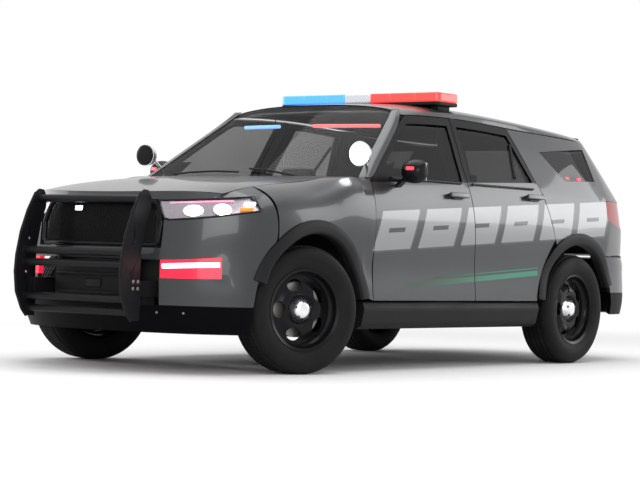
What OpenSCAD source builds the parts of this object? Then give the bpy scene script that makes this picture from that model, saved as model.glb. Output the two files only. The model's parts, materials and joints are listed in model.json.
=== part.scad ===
/* [Overall] */
// Distance between the front and rear axles
wheelbase = 3025; // [2850:5:3250]
// From the front axle to the foremost point of the painted nose
front_overhang = 890; // [840:5:960]
// From the rear axle to the rearmost point of the rear bumper
rear_overhang = 1135; // [1050:5:1250]
// Width of the painted body, without the flares
body_width = 1970; // [1850:5:2080]
// Height of the roof skin at its crown
roof_height = 1750; // [1680:5:1850]
// Height of the belt line half way along the car
belt_height = 1198; // [1150:2:1240]
// Height of the bonnet at the windscreen
bonnet_height = 1195; // [1150:5:1230]
// Height of the underside of the sills
sill_bottom = 262; // [230:2:300]
// Height of the lower edge of the doors
door_bottom = 440; // [410:5:470]

/* [Panels] */
// Gap between neighbouring panels at the skin
shut_gap = 7; // [5:0.5:10]
// How far a panel's inner edge is set in from its skin edge
edge_inset = 16; // [12:1:22]
// Thickness of single-wall body panels
panel_wall = 22; // [16:1:30]
// Thickness of a door window frame
frame_wall = 38; // [30:1:45]
// Width of a door window frame
frame_width = 52; // [40:1:70]
// Distance from the centre plane to the flat inner face of the doors
door_inner_y = 850; // [780:5:860]
// Thickness of the window glass
glass_wall = 5; // [4:0.5:8]
// Gap that a seal or a seat leaves beside the piece it carries
seat_gap = 0.4; // [0.3:0.1:0.8]

/* [Wheels] */
// Outer radius of the tyres
tyre_radius = 381.6; // [360:0.2:400]
// Section width of the tyres
tyre_width = 255; // [215:5:285]
// Radius of the rim flange
rim_radius = 246; // [232:1:260]
// Distance between the left and right tyre centre planes
track = 1701; // [1600:2:1760]
// Radius of the wheel opening inside the flare
arch_radius = 452; // [430:2:480]
// Radius of the outer edge of the flare
flare_radius = 536; // [510:2:560]
// How far the flare stands out from the painted side
flare_proud = 17; // [8:1:25]
// Rest angle of the front wheels, to the right of straight ahead
steer_rest = 18; // [0:1:25]
// Distance of the steering axis inboard of the tyre centre plane
kingpin_offset = 75; // [65:1:85]

/* [Push bumper] */
// How far the push bumper stands ahead of the nose
guard_reach = 213; // [190:1:260]
// Distance between the centres of the two uprights
guard_span = 840; // [700:10:900]
// Thickness of an upright
guard_plate = 12; // [8:1:20]
// Diameter of the cross tubes
guard_tube = 44; // [32:1:50]
// Diameter of the accessory bolt holes in the uprights
guard_hole = 17; // [10:0.5:22]

/* [Lightbar] */
// Length of the lightbar across the roof
bar_length = 1340; // [1100:10:1400]
// Depth of the lightbar along the roof
bar_depth = 270; // [200:5:330]
// Height of the lightbar housing
bar_height = 52; // [40:1:80]

/* [Number plate] */
// Distance between the two number plate bolts
plate_bolts = 178; // [150:1:200]
// Diameter of the number plate bolt holes
plate_hole = 7; // [5:0.5:9]

/* [Hidden] */

paint = "#4a4b4e";
black = "#1b1c1e";
steel = "#2b2c2f";

// Stations along the car: the origin is half way between both ends
total_length = guard_reach + front_overhang + wheelbase + rear_overhang;
rear_tip = -total_length / 2;
rear_axle = rear_tip + rear_overhang;
front_axle = rear_axle + wheelbase;
nose_tip = front_axle + front_overhang;
guard_tip = nose_tip + guard_reach;
half_width = body_width / 2;
axle_z = tyre_radius;

// Front and rear corners are superellipses in plan that start at these stations
front_turn = front_axle + 150;
rear_turn = rear_axle - 150;
front_power = 2.6;
rear_power = 3.4;

// Heights of the side section
waist_z = 640;
bulge_z = 880;
belt_slope = 0.0415;
ledge = 14;
glass_lean = 0.40;
glass_bow = 0.00015;

// Door shut lines
door_front = front_axle - 575;
pillar_low = -189;
pillar_belt = -150;
pillar_top = -228;
rear_shut_lean = 0.348;
door_top_z = roof_height - 110;

// Windscreen
screen_base_x = front_axle - 348;
screen_base_z = bonnet_height - 25;
screen_angle = 32.5;
screen_bow = 140;
pillar_width = 62;

function lerp(a, b, t) = a + (b - a) * t;
function unit(t) = min(1, max(0, t));
function ease(t) = let (s = unit(t)) s * s * (3 - 2 * s);
function sup(t, n) = pow(max(0, 1 - pow(min(1, abs(t)), n)), 1 / n);
function bell(t) = exp(-t * t);
function belt(x) = belt_height - belt_slope * x;

// Where the cabin's side section fades into the bonnet's rolled section
function front_fade(x) = unit((x - door_front) / 570);
function roll_power(x) = 5 + 30 * pow(1 - front_fade(x), 3);
roll_z = 700;
function bonnet_z(x) = bonnet_height - 152 * pow(unit((x - door_front - 92) / (nose_tip - 53 - door_front - 92)), 1.7);

// Foremost and rearmost stations of the centre line at height z
function nose_x(z) = nose_tip - 0.10 * max(0, z - 600) - 0.4 * max(0, 400 - z);
function tail_x(z) = rear_tip + (z < 755 ? 0.15 * max(0, 560 - z) : 62 + 0.03 * (z - 755) + 0.85 * max(0, z - 1190));

// Half width of the painted side at station x and height z
function low_y(x, z) = half_width - 22 * bell((z - waist_z) / 120)
    - 58 * (1 - front_fade(x)) * pow(max(0, z - bulge_z) / 310, 2)
    - 40 * pow(max(0, 450 - z) / 150, 2);
function glass_y(x, z) = let (d = z - belt_height + 8)
    half_width - 58 - ledge * unit((z - belt(x)) / 30) - glass_lean * d - glass_bow * d * d;
function side_y(x, z) = (z < belt(x) || x > door_front ? low_y(x, z) : glass_y(x, z))
    * (x > front_turn ? sup((x - front_turn) / (nose_x(z) - front_turn), front_power) : 1)
    * (x < rear_turn ? sup((rear_turn - x) / (rear_turn - tail_x(z)), rear_power) : 1)
    * (x > door_front && z > roll_z ? sup((z - roll_z) / (bonnet_z(x) - roll_z), roll_power(x)) : 1);
function plan_y(x) = half_width * (x > front_turn ? sup((x - front_turn) / (nose_x(1000) - front_turn), front_power) : 1);
function bonnet_top(x, y) = roll_z + (bonnet_z(x) - roll_z) * sup(y / plan_y(min(x, front_axle + 560)), roll_power(x));

// Roof skin and windscreen
function roof_mid(x) = roof_height - (x > -300 ? 42 * pow((x + 300) / 600, 2) : 95 * pow((-300 - x) / 1850, 1.6));
function roof_z(x, y) = roof_mid(x) - 58 * pow(abs(y) / 690, 3);
function screen_x(y, z) = screen_base_x - screen_bow * pow(y / 800, 2) - (z - screen_base_z) / tan(screen_angle);
function door_top(x) = door_top_z - 26 * pow((x + 250) / 700, 2);
function pillar_front(z) = screen_x(glass_y(0, z), z) - 48;

// Shut lines between the panels, as the x of each line at height z
function front_shut(z) = z < belt_height - 20 ? door_front - 18 * unit((z - 542) / 640)
    : min(door_front - 18, pillar_front(z));
function middle_shut(z) = z < belt_height ? lerp(pillar_low, pillar_belt, unit((z - 600) / (belt_height - 600)))
    : lerp(pillar_belt, pillar_top, (z - belt_height) / (door_top_z - belt_height));
function arch_x(z, r) = sqrt(max(0, r * r - pow(z - axle_z, 2)));
rear_shut_z = 830;
function rear_shut(z) = z < rear_shut_z ? rear_axle + arch_x(z, flare_radius + shut_gap)
    : rear_axle + arch_x(rear_shut_z, flare_radius + shut_gap) + rear_shut_lean * (z - rear_shut_z);
paint_radius = flare_radius - 30;
function arch_z(x, axle, r) = axle_z + sqrt(max(0, r * r - pow(x - axle, 2)));

// Closed shell between an outer and an inner grid of points. A cell whose keep is 0 is a hole
function quad(a, b, c, d) = [[a, b, c], [a, c, d]];
module shell(outer, inner, keep, flip = false) {
    nu = len(outer) - 1;
    nv = len(outer[0]) - 1;
    n = (nu + 1) * (nv + 1);
    function at(i, j) = i * (nv + 1) + j;
    function on(i, j) = i >= 0 && j >= 0 && i < nu && j < nv && keep[i][j] == 1;
    faces = [for (i = [0 : nu - 1], j = [0 : nv - 1]) if (on(i, j)) each concat(
        quad(at(i, j), at(i + 1, j), at(i + 1, j + 1), at(i, j + 1)),
        quad(n + at(i, j), n + at(i, j + 1), n + at(i + 1, j + 1), n + at(i + 1, j)),
        on(i, j - 1) ? [] : quad(at(i, j), n + at(i, j), n + at(i + 1, j), at(i + 1, j)),
        on(i, j + 1) ? [] : quad(at(i, j + 1), at(i + 1, j + 1), n + at(i + 1, j + 1), n + at(i, j + 1)),
        on(i - 1, j) ? [] : quad(at(i, j), at(i, j + 1), n + at(i, j + 1), n + at(i, j)),
        on(i + 1, j) ? [] : quad(at(i + 1, j), n + at(i + 1, j), n + at(i + 1, j + 1), at(i + 1, j + 1)))];
    polyhedron(concat([for (row = outer) each row], [for (row = inner) each row]),
        flip ? [for (f = faces) [f[0], f[2], f[1]]] : faces);
}
function all_cells(grid) = [for (i = [0 : len(grid) - 2]) [for (j = [0 : len(grid[0]) - 2]) 1]];
// Sign that moves the points on the rim of a grid towards its middle
function rim(k, last) = k == 0 ? 1 : k == last ? -1 : 0;
module both_sides() {
    children();
    mirror([0, 1, 0]) children();
}
function flips(outer, inner) = let (i = floor((len(outer) - 1) / 2), j = floor((len(outer[0]) - 1) / 2))
    cross(outer[i + 1][j] - outer[i][j], outer[i][j + 1] - outer[i][j]) * (outer[i][j] - inner[i][j]) > 0;

// Solid through a row of closed rings of points, with flat ends
module loft(rings) {
    n = len(rings[0]);
    last = len(rings) - 1;
    walls = [for (i = [0 : last - 1], k = [0 : n - 1])
        each quad(i * n + k, i * n + (k + 1) % n, (i + 1) * n + (k + 1) % n, (i + 1) * n + k)];
    ends = [for (k = [1 : n - 2]) each [[0, k + 1, k], [last * n, last * n + k, last * n + k + 1]]];
    faces = concat(walls, ends);
    axis = rings[last][0] - rings[0][0];
    spin = cross(rings[0][1] - rings[0][0], rings[0][2] - rings[0][1]) * axis;
    polyhedron([for (r = rings) each r], spin > 0 ? [for (f = faces) [f[0], f[2], f[1]]] : faces);
}

// ---- Doors ----
// Rows of a door: share of the way from the sill to the window, then from the window to the roof
door_rows = [0, 0.1, 0.3, 0.52, 0.74, 0.9, 1];
window_rows = [0.36, 0.7];
window_row = len(door_rows) - 1;
window_top = window_row + len(window_rows) + 1;
function sill_z(x) = belt(x) + 8;
function frame_z(x) = door_top(x) - frame_width;
function door_z(x, j) = j <= window_row ? lerp(door_bottom, sill_z(x), door_rows[j])
    : j < window_top ? lerp(sill_z(x), frame_z(x), window_rows[j - window_row - 1])
    : j == window_top ? frame_z(x) : door_top(x);
function door_edge(front, rear, j) = let (
    z1 = door_z(front ? 600 : -150, j), x1 = front ? front_shut(z1) : middle_shut(z1),
    z2 = door_z(x1, j)) [front ? front_shut(z2) : middle_shut(z2), z2];
function rear_edge(front, j) = let (
    z1 = door_z(front ? -180 : -1050, j), x1 = front ? middle_shut(z1) : rear_shut(z1),
    z2 = door_z(x1, j)) [front ? middle_shut(z2) : rear_shut(z2), z2];
// Columns of a door: share of its length, or an offset from an edge for the frame
front_columns = [0.17, 0.42, 0.7];
rear_columns = [0.3, 0.55, 0.78];
function door_x(front, i, j) = let (
    columns = front ? front_columns : rear_columns,
    a = door_edge(front, 0, j)[0] - shut_gap / 2, b = rear_edge(front, j)[0] + shut_gap / 2,
    lean = front && j > window_row ? 12 : 0)
    i == 0 ? a : i == 1 ? a - frame_width - lean : i == 5 ? b + frame_width : i == 6 ? b
    : lerp(a, b, columns[i - 2]);
function door_outer(front) = [for (i = [0 : 6]) [for (j = [0 : window_top + 1])
    let (x = door_x(front, i, j), z = door_z(x, j)) [x, side_y(x, z), z]]];
function door_inner(front) = [for (i = [0 : 6]) [for (j = [0 : window_top + 1])
    let (x = door_x(front, i, j), z = door_z(x, j),
        y = j < window_row ? door_inner_y : side_y(x, z) - frame_wall - (j == window_row ? 16 : 0))
    [x - edge_inset * rim(i, 6), y, z + edge_inset * rim(j, window_top + 1)]]];
// The window is a hole, apart from the sail behind the windscreen pillar
function door_hole(front, i, j) = j >= window_row && j < window_top && i >= 1 && i <= 4
    && !(front && i == 1 && j == window_row);
function door_cells(front) = [for (i = [0 : 5]) [for (j = [0 : window_top]) door_hole(front, i, j) ? 0 : 1]];
module door(front) {
    outer = door_outer(front);
    inner = door_inner(front);
    shell(outer, inner, door_cells(front), flips(outer, inner));
}
glass_depth = 0.25;
glass_play = 0.6;
module door_glass(front) {
    outer = door_outer(front);
    inner = door_inner(front);
    function pane(depth) = [for (i = [1 : 5]) [for (j = [window_row : window_top])
        let (p = lerp(outer[i][j], inner[i][j], depth + (j == window_row ? -0.05 : 0)))
        p + glass_play * [i == 1 ? (front ? -6 : -1) : front && i == 2 && j <= window_row + 1 ? -4 : i == 5 ? 1 : 0, 0,
            j == window_row || (front && i <= 2 && j == window_row + 1) ? 1 : j == window_top ? -1 : 0]]];
    face = pane(glass_depth);
    back = pane(glass_depth + glass_wall / frame_wall);
    shell(face, back, [for (i = [1 : 4]) [for (j = [window_row : window_top - 1]) door_hole(front, i, j) ? 1 : 0]],
        flips(face, back));
}

// ---- Bonnet and front wings ----
// Edge line of the bonnet, and its rear and front edges
bonnet_half = 790;
bonnet_front_half = 740;
bonnet_corner_x = nose_tip - 236;
function bonnet_edge(x) = lerp(bonnet_half, bonnet_front_half, unit((x - door_front - 100) / (bonnet_corner_x - door_front - 100)));
function bonnet_rear(y) = screen_base_x + 20 - screen_bow * pow(y / 800, 2);
bonnet_sweep = 1.12;
function bonnet_front(y) = front_turn + (nose_x(1040) - 24 - front_turn) * sup(y / plan_y(front_axle) * bonnet_sweep, front_power);
bonnet_columns = [0, 0.12, 0.28, 0.45, 0.62, 0.78, 0.9, 0.97, 1];
bonnet_rows = [-1, -0.93, -0.78, -0.52, -0.26, 0, 0.26, 0.52, 0.78, 0.93, 1];
function bonnet_point(u, v) = let (
    y1 = v * bonnet_edge(lerp(bonnet_rear(0), bonnet_front(0), u)), x1 = lerp(bonnet_rear(y1), bonnet_front(y1), u),
    y2 = v * bonnet_edge(x1), x2 = lerp(bonnet_rear(y2), bonnet_front(y2), u)) [x2, y2, bonnet_top(x2, y2)];
bonnet_wall = 26;
module hood() {
    last_u = len(bonnet_columns) - 1;
    last_v = len(bonnet_rows) - 1;
    outer = [for (i = [0 : last_u]) [for (j = [0 : last_v]) bonnet_point(bonnet_columns[i], bonnet_rows[j])]];
    inner = [for (i = [0 : last_u]) [for (j = [0 : last_v])
        outer[i][j] + [edge_inset * rim(i, last_u), edge_inset * rim(j, last_v), -bonnet_wall]]];
    color(paint) shell(outer, inner, all_cells(outer), flips(outer, inner));
}

// Wing: columns follow the wheel opening, rows run up its side and over to the bonnet
wing_angles = [9, 24, 40, 56, 72, 88, 104, 120];
wing_front = front_axle + 352;
wing_side_rows = [for (k = [0 : 10]) k / 10];
wing_top_rows = [0.4, 0.75, 1];
wing_corner = 0.93;
function wing_x(i, z) = i == 0 ? front_shut(min(z, belt_height - 21)) + shut_gap / 2
    : i <= len(wing_angles) ? front_axle - paint_radius * cos(wing_angles[i - 1]) : wing_front - shut_gap / 2;
function wing_point(i, j, inset = 0) = let (
    x0 = wing_x(i, 900), z0 = max(door_bottom, arch_z(x0, front_axle, paint_radius)),
    ys = wing_corner * plan_y(x0), zs = bonnet_top(x0, ys), last = len(wing_side_rows) - 1)
    j <= last ? let (z = lerp(z0, zs, wing_side_rows[j]), x = wing_x(i, z)) [x, side_y(x, z), z]
    : let (y = lerp(ys, bonnet_edge(x0) + shut_gap, wing_top_rows[j - last - 1]), x = wing_x(i, zs))
        [x, y, bonnet_top(x, y)];
wing_last = len(wing_angles) + 1;
wing_rows_last = len(wing_side_rows) + len(wing_top_rows) - 1;
wing_outer = [for (i = [0 : wing_last]) [for (j = [0 : wing_rows_last]) wing_point(i, j)]];
wing_inner = [for (i = [0 : wing_last]) [for (j = [0 : wing_rows_last]) let (k = len(wing_side_rows) - 1)
    wing_outer[i][j] + [edge_inset * rim(i, wing_last),
        (j <= k ? -panel_wall : 0) + (j == wing_rows_last ? edge_inset : 0),
        (j >= k ? -panel_wall : 0) + (j == 0 ? edge_inset : 0)]]];
module front_fenders() color(paint) both_sides()
    shell(wing_outer, wing_inner, all_cells(wing_outer), flips(wing_outer, wing_inner));

// ---- Front bumper ----
// Columns by their share of the half width, then two that run to the wheel opening
nose_shares = [0, 0.17, 0.34, 0.5, 0.62, 0.73, 0.83, 0.905];
nose_columns = len(nose_shares) + 2;
// Rows: height at the middle, height at the outer end
nose_rows = [[392, 392], [470, 470], [549, 558], [655, 716], [722, 800], [800, 880], [880, 962], [1003, 1046]];
nose_last = len(nose_rows);
function nose_z(i, j) = let (t = ease((i - 3) / (nose_columns - 3))) lerp(nose_rows[j][0], nose_rows[j][1], t);
function nose_end(z) = max(wing_front + shut_gap / 2, front_axle + arch_x(z, paint_radius));
function nose_share_x(f, z) = front_turn + (nose_x(z) - front_turn) * sup(f, front_power);
function nose_side(i, z) = i < len(nose_shares)
    ? let (x = nose_share_x(nose_shares[i], z)) [x, side_y(x, z), z]
    : let (x0 = nose_share_x(nose_shares[len(nose_shares) - 1], z), x1 = nose_end(z),
        x = lerp(x0, x1, (i - len(nose_shares) + 1) / 2)) [x, side_y(x, z), z];
function nose_top(i) = let (p = nose_side(i, nose_z(i, nose_last - 1)))
    p[1] < bonnet_front_half - 12 ? let (x = bonnet_front(p[1]) + shut_gap) [x, p[1], bonnet_top(x, p[1])]
    : let (x = min(p[0], bonnet_front(bonnet_front_half) + shut_gap), y = bonnet_edge(x) + shut_gap)
        [x, y, bonnet_top(x, y)];
function nose_point(i, j) = j < nose_last ? nose_side(i, nose_z(i, j)) : nose_top(i);
function mirror_y(grid) = concat([for (i = [len(grid) - 1 : -1 : 1]) [for (p = grid[i]) [p[0], -p[1], p[2]]]], grid);
nose_wall = 30;
nose_half = [for (i = [0 : nose_columns - 1]) [for (j = [0 : nose_last]) nose_point(i, j)]];
// Direction into the car, square to the plan curve
function inward(p) = let (t = unit((p[0] - front_turn) / (nose_tip - front_turn)), a = lerp(90, 8, pow(t, 1.4)))
    [-cos(a), -sin(a), 0];
nose_half_inner = [for (i = [0 : nose_columns - 1]) [for (j = [0 : nose_last])
    let (p = nose_half[i][j], end = i == nose_columns - 1)
    p + nose_wall * (j == nose_last ? [-0.4, -0.2, -0.8] : inward(p)) * (i == 0 ? 1 : 1)
    + [end ? edge_inset : 0, 0, j == 0 ? edge_inset : 0]]];
grille_column = 3;
function nose_open(i, j) = (i < grille_column && (j == 0 || j == 1 || j == 2)) // lower intake
    || (i < grille_column && j >= 4 && j <= 6) // upper grille
    || (i >= grille_column && i < nose_columns - 2 && j == 6) // headlamps
    || (i >= grille_column && i < 6 && j == 2); // corner lamps
nose_cells = [for (k = [-(nose_columns - 1) : nose_columns - 2]) [for (j = [0 : nose_last - 1])
    nose_open(k < 0 ? -k - 1 : k, j) ? 0 : 1]];
module front_bumper() {
    outer = mirror_y(nose_half);
    inner = mirror_y(nose_half_inner);
    color(paint) shell(outer, inner, nose_cells, flips(outer, inner));
    color(black) valance();
}
// A patch that fills some cells of the nose, set in by a depth, with a play all round
module nose_patch(i0, i1, j0, j1, depth, wall, play, whole = false, drop = 0) {
    function layer(d, drop = 0) = [for (i = [i0 : i1]) [for (j = [j0 : j1]) let (p = nose_half[i][j])
        p + d * (i == i0 && !whole ? [-1, 0, 0] : inward(p)) + play * [0, i == i1 ? -1 : i == i0 && !whole ? 1 : 0, 0]
        + play * [i == i1 && i1 > 6 ? 1 : 0, 0, j == j0 ? 1 : j == j1 ? -1 : 0] - [0, 0, j == j1 ? drop : 0]]];
    face = whole ? mirror_y(layer(depth)) : layer(depth);
    back = whole ? mirror_y(layer(depth + wall, drop)) : layer(depth + wall, drop);
    shell(face, back, all_cells(face), flips(face, back));
}
module grille() {
    color(black) nose_patch(0, grille_column, 4, 7, 14, 14, 0.6, true);
    color(black) nose_patch(0, grille_column - 1, 0, 3, 22, 14, 0.6, true);
}
module headlamps() {
    color("white") both_sides() nose_patch(grille_column, nose_columns - 2, 6, 7, 4, 60, 0.6, drop = 44);
    color("red") both_sides() nose_patch(grille_column, 6, 2, 3, 6, 40, 0.6);
}
// Black skirt under the bumper
skirt_bottom = 232;
skirt_lean = 0.4;
module valance() {
    function ring(i, z, d) = let (p = nose_side(i, nose_rows[0][0])) p + d * inward(p) + [0, 0, z - nose_rows[0][0]];
    levels = [skirt_bottom, 300, nose_rows[0][0] - seat_gap];
    half_ring = [for (i = [0 : nose_columns - 1]) [for (z = levels) ring(i, z, 1 + (levels[2] - z) * skirt_lean)]];
    back_ring = [for (i = [0 : nose_columns - 1]) [for (z = levels) ring(i, z, 21 + (levels[2] - z) * skirt_lean)]];
    outer = mirror_y(half_ring);
    inner = mirror_y(back_ring);
    shell(outer, inner, all_cells(outer), flips(outer, inner));
}

// ---- Rear quarters ----
cant_join = -950;
function cant_z(x) = x > cant_join ? door_top(x) + shut_gap : door_top(cant_join) + shut_gap - 0.03 * (cant_join - x);
// Offsets from the rear axle of each column: at the wheel opening, at the belt, at the roof rail
quarter_columns = [[240, 330, 540], [140, 190, 490], [30, 20, 440], [-90, -150, 200], [-210, -290, -60],
    [-320, -385, -412], [-380, -470, -480], [-430, -560, -530]];
side_columns = len(quarter_columns) + 1;
quarter_last = side_columns + 2;
quarter_base = 762;
function base_y(z) = z < belt(-1500) ? low_y(-1500, z) : glass_y(-1500, z);
function tail_edge(z) = z < 1165 ? 700 : z < 1262 ? lerp(700, 655, (z - 1165) / 97) : lerp(655, 560, unit((z - 1262) / 340));
function quarter_x(i, z) = let (c = quarter_columns[i - 1], b = belt(-1500))
    i == 0 ? rear_shut(max(z, rear_shut_z)) - shut_gap / 2
    : rear_axle + (z < 850 ? c[0] : z < b ? lerp(c[0], c[1], (z - 850) / (b - 850))
        : lerp(c[1], c[2], (z - b) / (door_top_z - b)));
function share_x(f, z) = rear_turn - (rear_turn - tail_x(z)) * sup(f, rear_power);
function quarter_xy(i, z) = i < side_columns ? let (x = quarter_x(i, z)) [x, side_y(x, z)]
    : let (x = quarter_x(side_columns - 1, z), f0 = side_y(x, z) / base_y(z),
        f1 = (tail_edge(z) + shut_gap) / base_y(z), f = lerp(f0, f1, (i - side_columns + 1) / 3))
        [share_x(f, z), f * base_y(z)];
function quarter_z(i, j) = let (x0 = quarter_x(min(i, side_columns - 1), 850),
    low = i == 0 ? rear_shut_z : max(quarter_base, arch_z(x0, rear_axle, paint_radius)),
    lamp_low = lerp(1135, 935, ease((i - 3) / (quarter_last - 3))),
    sill = belt(quarter_x(min(i, side_columns - 1), 1240)) + 20,
    head = lerp(1474, 1528, unit((i - 3) / 3)),
    top = cant_z(quarter_x(min(i, side_columns - 1), 1600)) - shut_gap)
    [low, lerp(low, lamp_low, 0.5), lamp_low, lerp(1172, 1158, unit(i / quarter_last)), sill,
        lerp(sill, head, 0.5), head, lerp(head, top, 0.5), top][j];
quarter_rows = 8;
quarter_outer = [for (i = [0 : quarter_last]) [for (j = [0 : quarter_rows])
    let (z = quarter_z(i, j), p = quarter_xy(i, z)) [p[0], p[1], z]]];
function rear_inward(p) = let (t = unit((rear_turn - p[0]) / (rear_turn - rear_tip)), a = lerp(90, 8, pow(t, 1.4)))
    [cos(a), -sin(a), 0];
quarter_inner = [for (i = [0 : quarter_last]) [for (j = [0 : quarter_rows])
    quarter_outer[i][j] + panel_wall * rear_inward(quarter_outer[i][j])
    + [i == 0 ? -edge_inset : i == quarter_last ? edge_inset * 0.6 : 0, i == quarter_last ? edge_inset * 0.6 : 0,
        edge_inset * rim(j, quarter_rows)]]];
function quarter_open(i, j) = (i >= 3 && i <= 5 && j >= 4 && j <= 5) || (i >= 7 && j == 2);
quarter_cells = [for (i = [0 : quarter_last - 1]) [for (j = [0 : quarter_rows - 1]) quarter_open(i, j) ? 0 : 1]];
module quarter_patch(i0, i1, j0, j1, depth, wall) {
    function layer(d) = [for (i = [i0 : i1]) [for (j = [j0 : j1])
        quarter_outer[i][j] + d * rear_inward(quarter_outer[i][j])
        + glass_play * [i == i0 ? -1 : i == i1 ? 1 : 0, i == i1 && i1 == quarter_last ? 1 : 0,
            j == j0 ? 1 : j == j1 ? -1 : 0]]];
    face = layer(depth);
    back = layer(depth + wall);
    shell(face, back, all_cells(face), flips(face, back));
}
// Windscreen pillar, from the bonnet to the roof
pillar_base = bonnet_height + seat_gap;
pillar_head = roof_height - 84;
function pillar_ring(z) = let (y0 = glass_y(0, z), y1 = y0 - pillar_width,
    stop = roof_front(y0) - shut_gap + seat_gap, x0 = max(pillar_front(z) + shut_gap / 2, stop))
    [[x0, y0, z], [max(x0 + 6, screen_x(y0 - 12, z)), y0 - 12, z], [screen_x(y1, z), y1, z],
        [max(screen_x(y1, z) - 48, stop + 1), y1, z], [x0 + 8, y0 - frame_wall, z]];
module body_sides() color(paint) both_sides() {
    shell(quarter_outer, quarter_inner, quarter_cells, flips(quarter_outer, quarter_inner));
    loft([for (t = [0, 0.2, 0.4, 0.6, 0.8, 1]) pillar_ring(lerp(pillar_base, pillar_head, t))]);
}

// ---- Roof and windscreen ----
roof_rear = tail_x(door_top_z) + 100;
function roof_front(y) = let (x1 = screen_x(y, roof_z(300, y))) screen_x(y, roof_z(x1, y));
// Share of the half width, and the drop below the roof skin
roof_rows = [[0, 0], [0.25, 0], [0.5, 0], [0.72, 0], [0.86, 0], [0.94, 3], [0.985, 14]];
bar_x = -274;
bar_share = (roof_front(0) - shut_gap - bar_x) / (roof_front(0) - shut_gap - roof_rear);
roof_columns = [0, 0.05, 0.14, bar_share, 0.38, 0.52, 0.66, 0.8, 0.91, 1];
function roof_half(x) = side_y(x, cant_z(x));
function roof_point(u, j) = let (
    f = j < len(roof_rows) ? roof_rows[j][0] : 1,
    x1 = lerp(roof_front(f * 700) - shut_gap, roof_rear, u), y = f * roof_half(min(x1, 330)),
    x = lerp(roof_front(y) - shut_gap, roof_rear, u))
    j < len(roof_rows) ? [x, y, roof_z(x, y) - roof_rows[j][1]] : [x, y, cant_z(x)];
roof_wall = 24;
module roof() {
    last_u = len(roof_columns) - 1;
    last_v = len(roof_rows);
    half = [for (j = [0 : last_v]) [for (i = [0 : last_u]) roof_point(roof_columns[i], j)]];
    under = [for (j = [0 : last_v]) [for (i = [0 : last_u]) half[j][i]
        + [-edge_inset * rim(i, last_u), j == last_v ? -roof_wall : 0, j == last_v ? 6 : j == last_v - 1 ? -8 : -roof_wall]]];
    outer = mirror_y(half);
    inner = mirror_y(under);
    color(paint) shell(outer, inner, all_cells(outer), flips(outer, inner));
}
screen_rows = [0, 0.25, 0.5, 0.75, 1];
screen_shares = [0, 0.25, 0.5, 0.72, 0.82, (bonnet_half - 6) / 845, 1];
function screen_point(f, t, depth) = let (
    low = lerp(screen_base_z, pillar_base + 3, unit((f * 845 - 690) / (bonnet_half - 696))), top0 = roof_z(300, f * 640) - 10,
    z0 = lerp(low, top0, t), y = f * (glass_y(0, z0) - pillar_width - 0.8),
    top = roof_z(roof_front(y), y) - 9, z = lerp(low, top, t)) [screen_x(y, z) - depth, y, z];
module windshield() {
    outer = mirror_y([for (f = screen_shares) [for (t = screen_rows) screen_point(f, t, 2)]]);
    inner = mirror_y([for (f = screen_shares) [for (t = screen_rows) screen_point(f, t, 2 + glass_wall * 1.7)]]);
    color("#20262a") shell(outer, inner, all_cells(outer), flips(outer, inner));
    color(black) cowl();
}
cowl_z = 1146;
cowl_wall = 14;
module cowl() {
    shares = [0, 0.25, 0.5, 0.75, 1];
    outer = mirror_y([for (f = shares) [for (e = [0, 1]) let (y = f * 765)
        [e == 0 ? screen_x(y, cowl_z) - 20 : bonnet_rear(y) + 20, y, cowl_z]]]);
    inner = [for (row = outer) [for (p = row) p - [0, 0, cowl_wall]]];
    shell(outer, inner, all_cells(outer), flips(outer, inner));
}
module quarter_glass() color("#1c2023") both_sides() quarter_patch(3, 6, 4, 6, 5, glass_wall);

// ---- Tail ----
tail_shares = [0, 0.22, 0.44, 0.62, 0.76, 0.88];
tail_rows = [342, 430, 552, 640, 705, 755];
function tail_point(i, z) = i < len(tail_shares)
    ? let (f = tail_shares[i]) [share_x(f, z), f * low_y(-1500, z), z]
    : let (x0 = share_x(tail_shares[len(tail_shares) - 1], z), x1 = rear_axle - arch_x(z, paint_radius),
        x = lerp(x0, x1, [0, 0.3, 0.65, 1][i - len(tail_shares) + 1])) [x, side_y(x, z), z];
tail_half = [for (i = [0 : len(tail_shares) + 2]) [for (z = tail_rows) tail_point(i, z)]];
module rear_bumper() {
    last = len(tail_half) - 1;
    under = [for (i = [0 : last]) [for (j = [0 : len(tail_rows) - 1]) tail_half[i][j]
        + nose_wall * rear_inward(tail_half[i][j])
        + [i == last ? -edge_inset : 0, 0, 0.6 * edge_inset * rim(j, len(tail_rows) - 1)]]];
    outer = mirror_y(tail_half);
    inner = mirror_y(under);
    color(paint) shell(outer, inner, all_cells(outer), flips(outer, inner));
}
module tail_lamps() color("#7a1014") both_sides() quarter_patch(7, quarter_last, 2, 3, 4, 40);

gate_shares = [0, 0.3, 0.58, 0.82, 1];
// Height of each row of the tailgate and how far it stands behind the tail line
gate_rows = [[764, 0], [860, 0], [1000, 0], [1150, 0], [1256, 0], [1400, 0], [1545, 0], [1588, 42], [1618, 46]];
gate_last = len(gate_rows);
function gate_point(f, j) = j < gate_last
    ? let (z = gate_rows[j][0], y = f * tail_edge(z)) [share_x(y / base_y(z), z) - gate_rows[j][1], y, z]
    : let (y = f * (roof_half(roof_rear) - 26)) [roof_rear - shut_gap, y, roof_z(roof_rear, y)];
gate_half = [for (f = gate_shares) [for (j = [0 : gate_last]) gate_point(f, j)]];
gate_wall = 46;
gate_under = [for (i = [0 : len(gate_shares) - 1]) [for (j = [0 : gate_last]) let (side = i == len(gate_shares) - 1)
    gate_half[i][j] + [j == gate_last ? -edge_inset * 0.6 : gate_wall + (side ? -10 : 0) + (j >= gate_last - 2 ? 12 : 0),
        side ? -edge_inset : 0, j == 0 ? edge_inset : j == gate_last ? -34 : j == gate_last - 1 ? -14 : 0]]];
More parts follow.
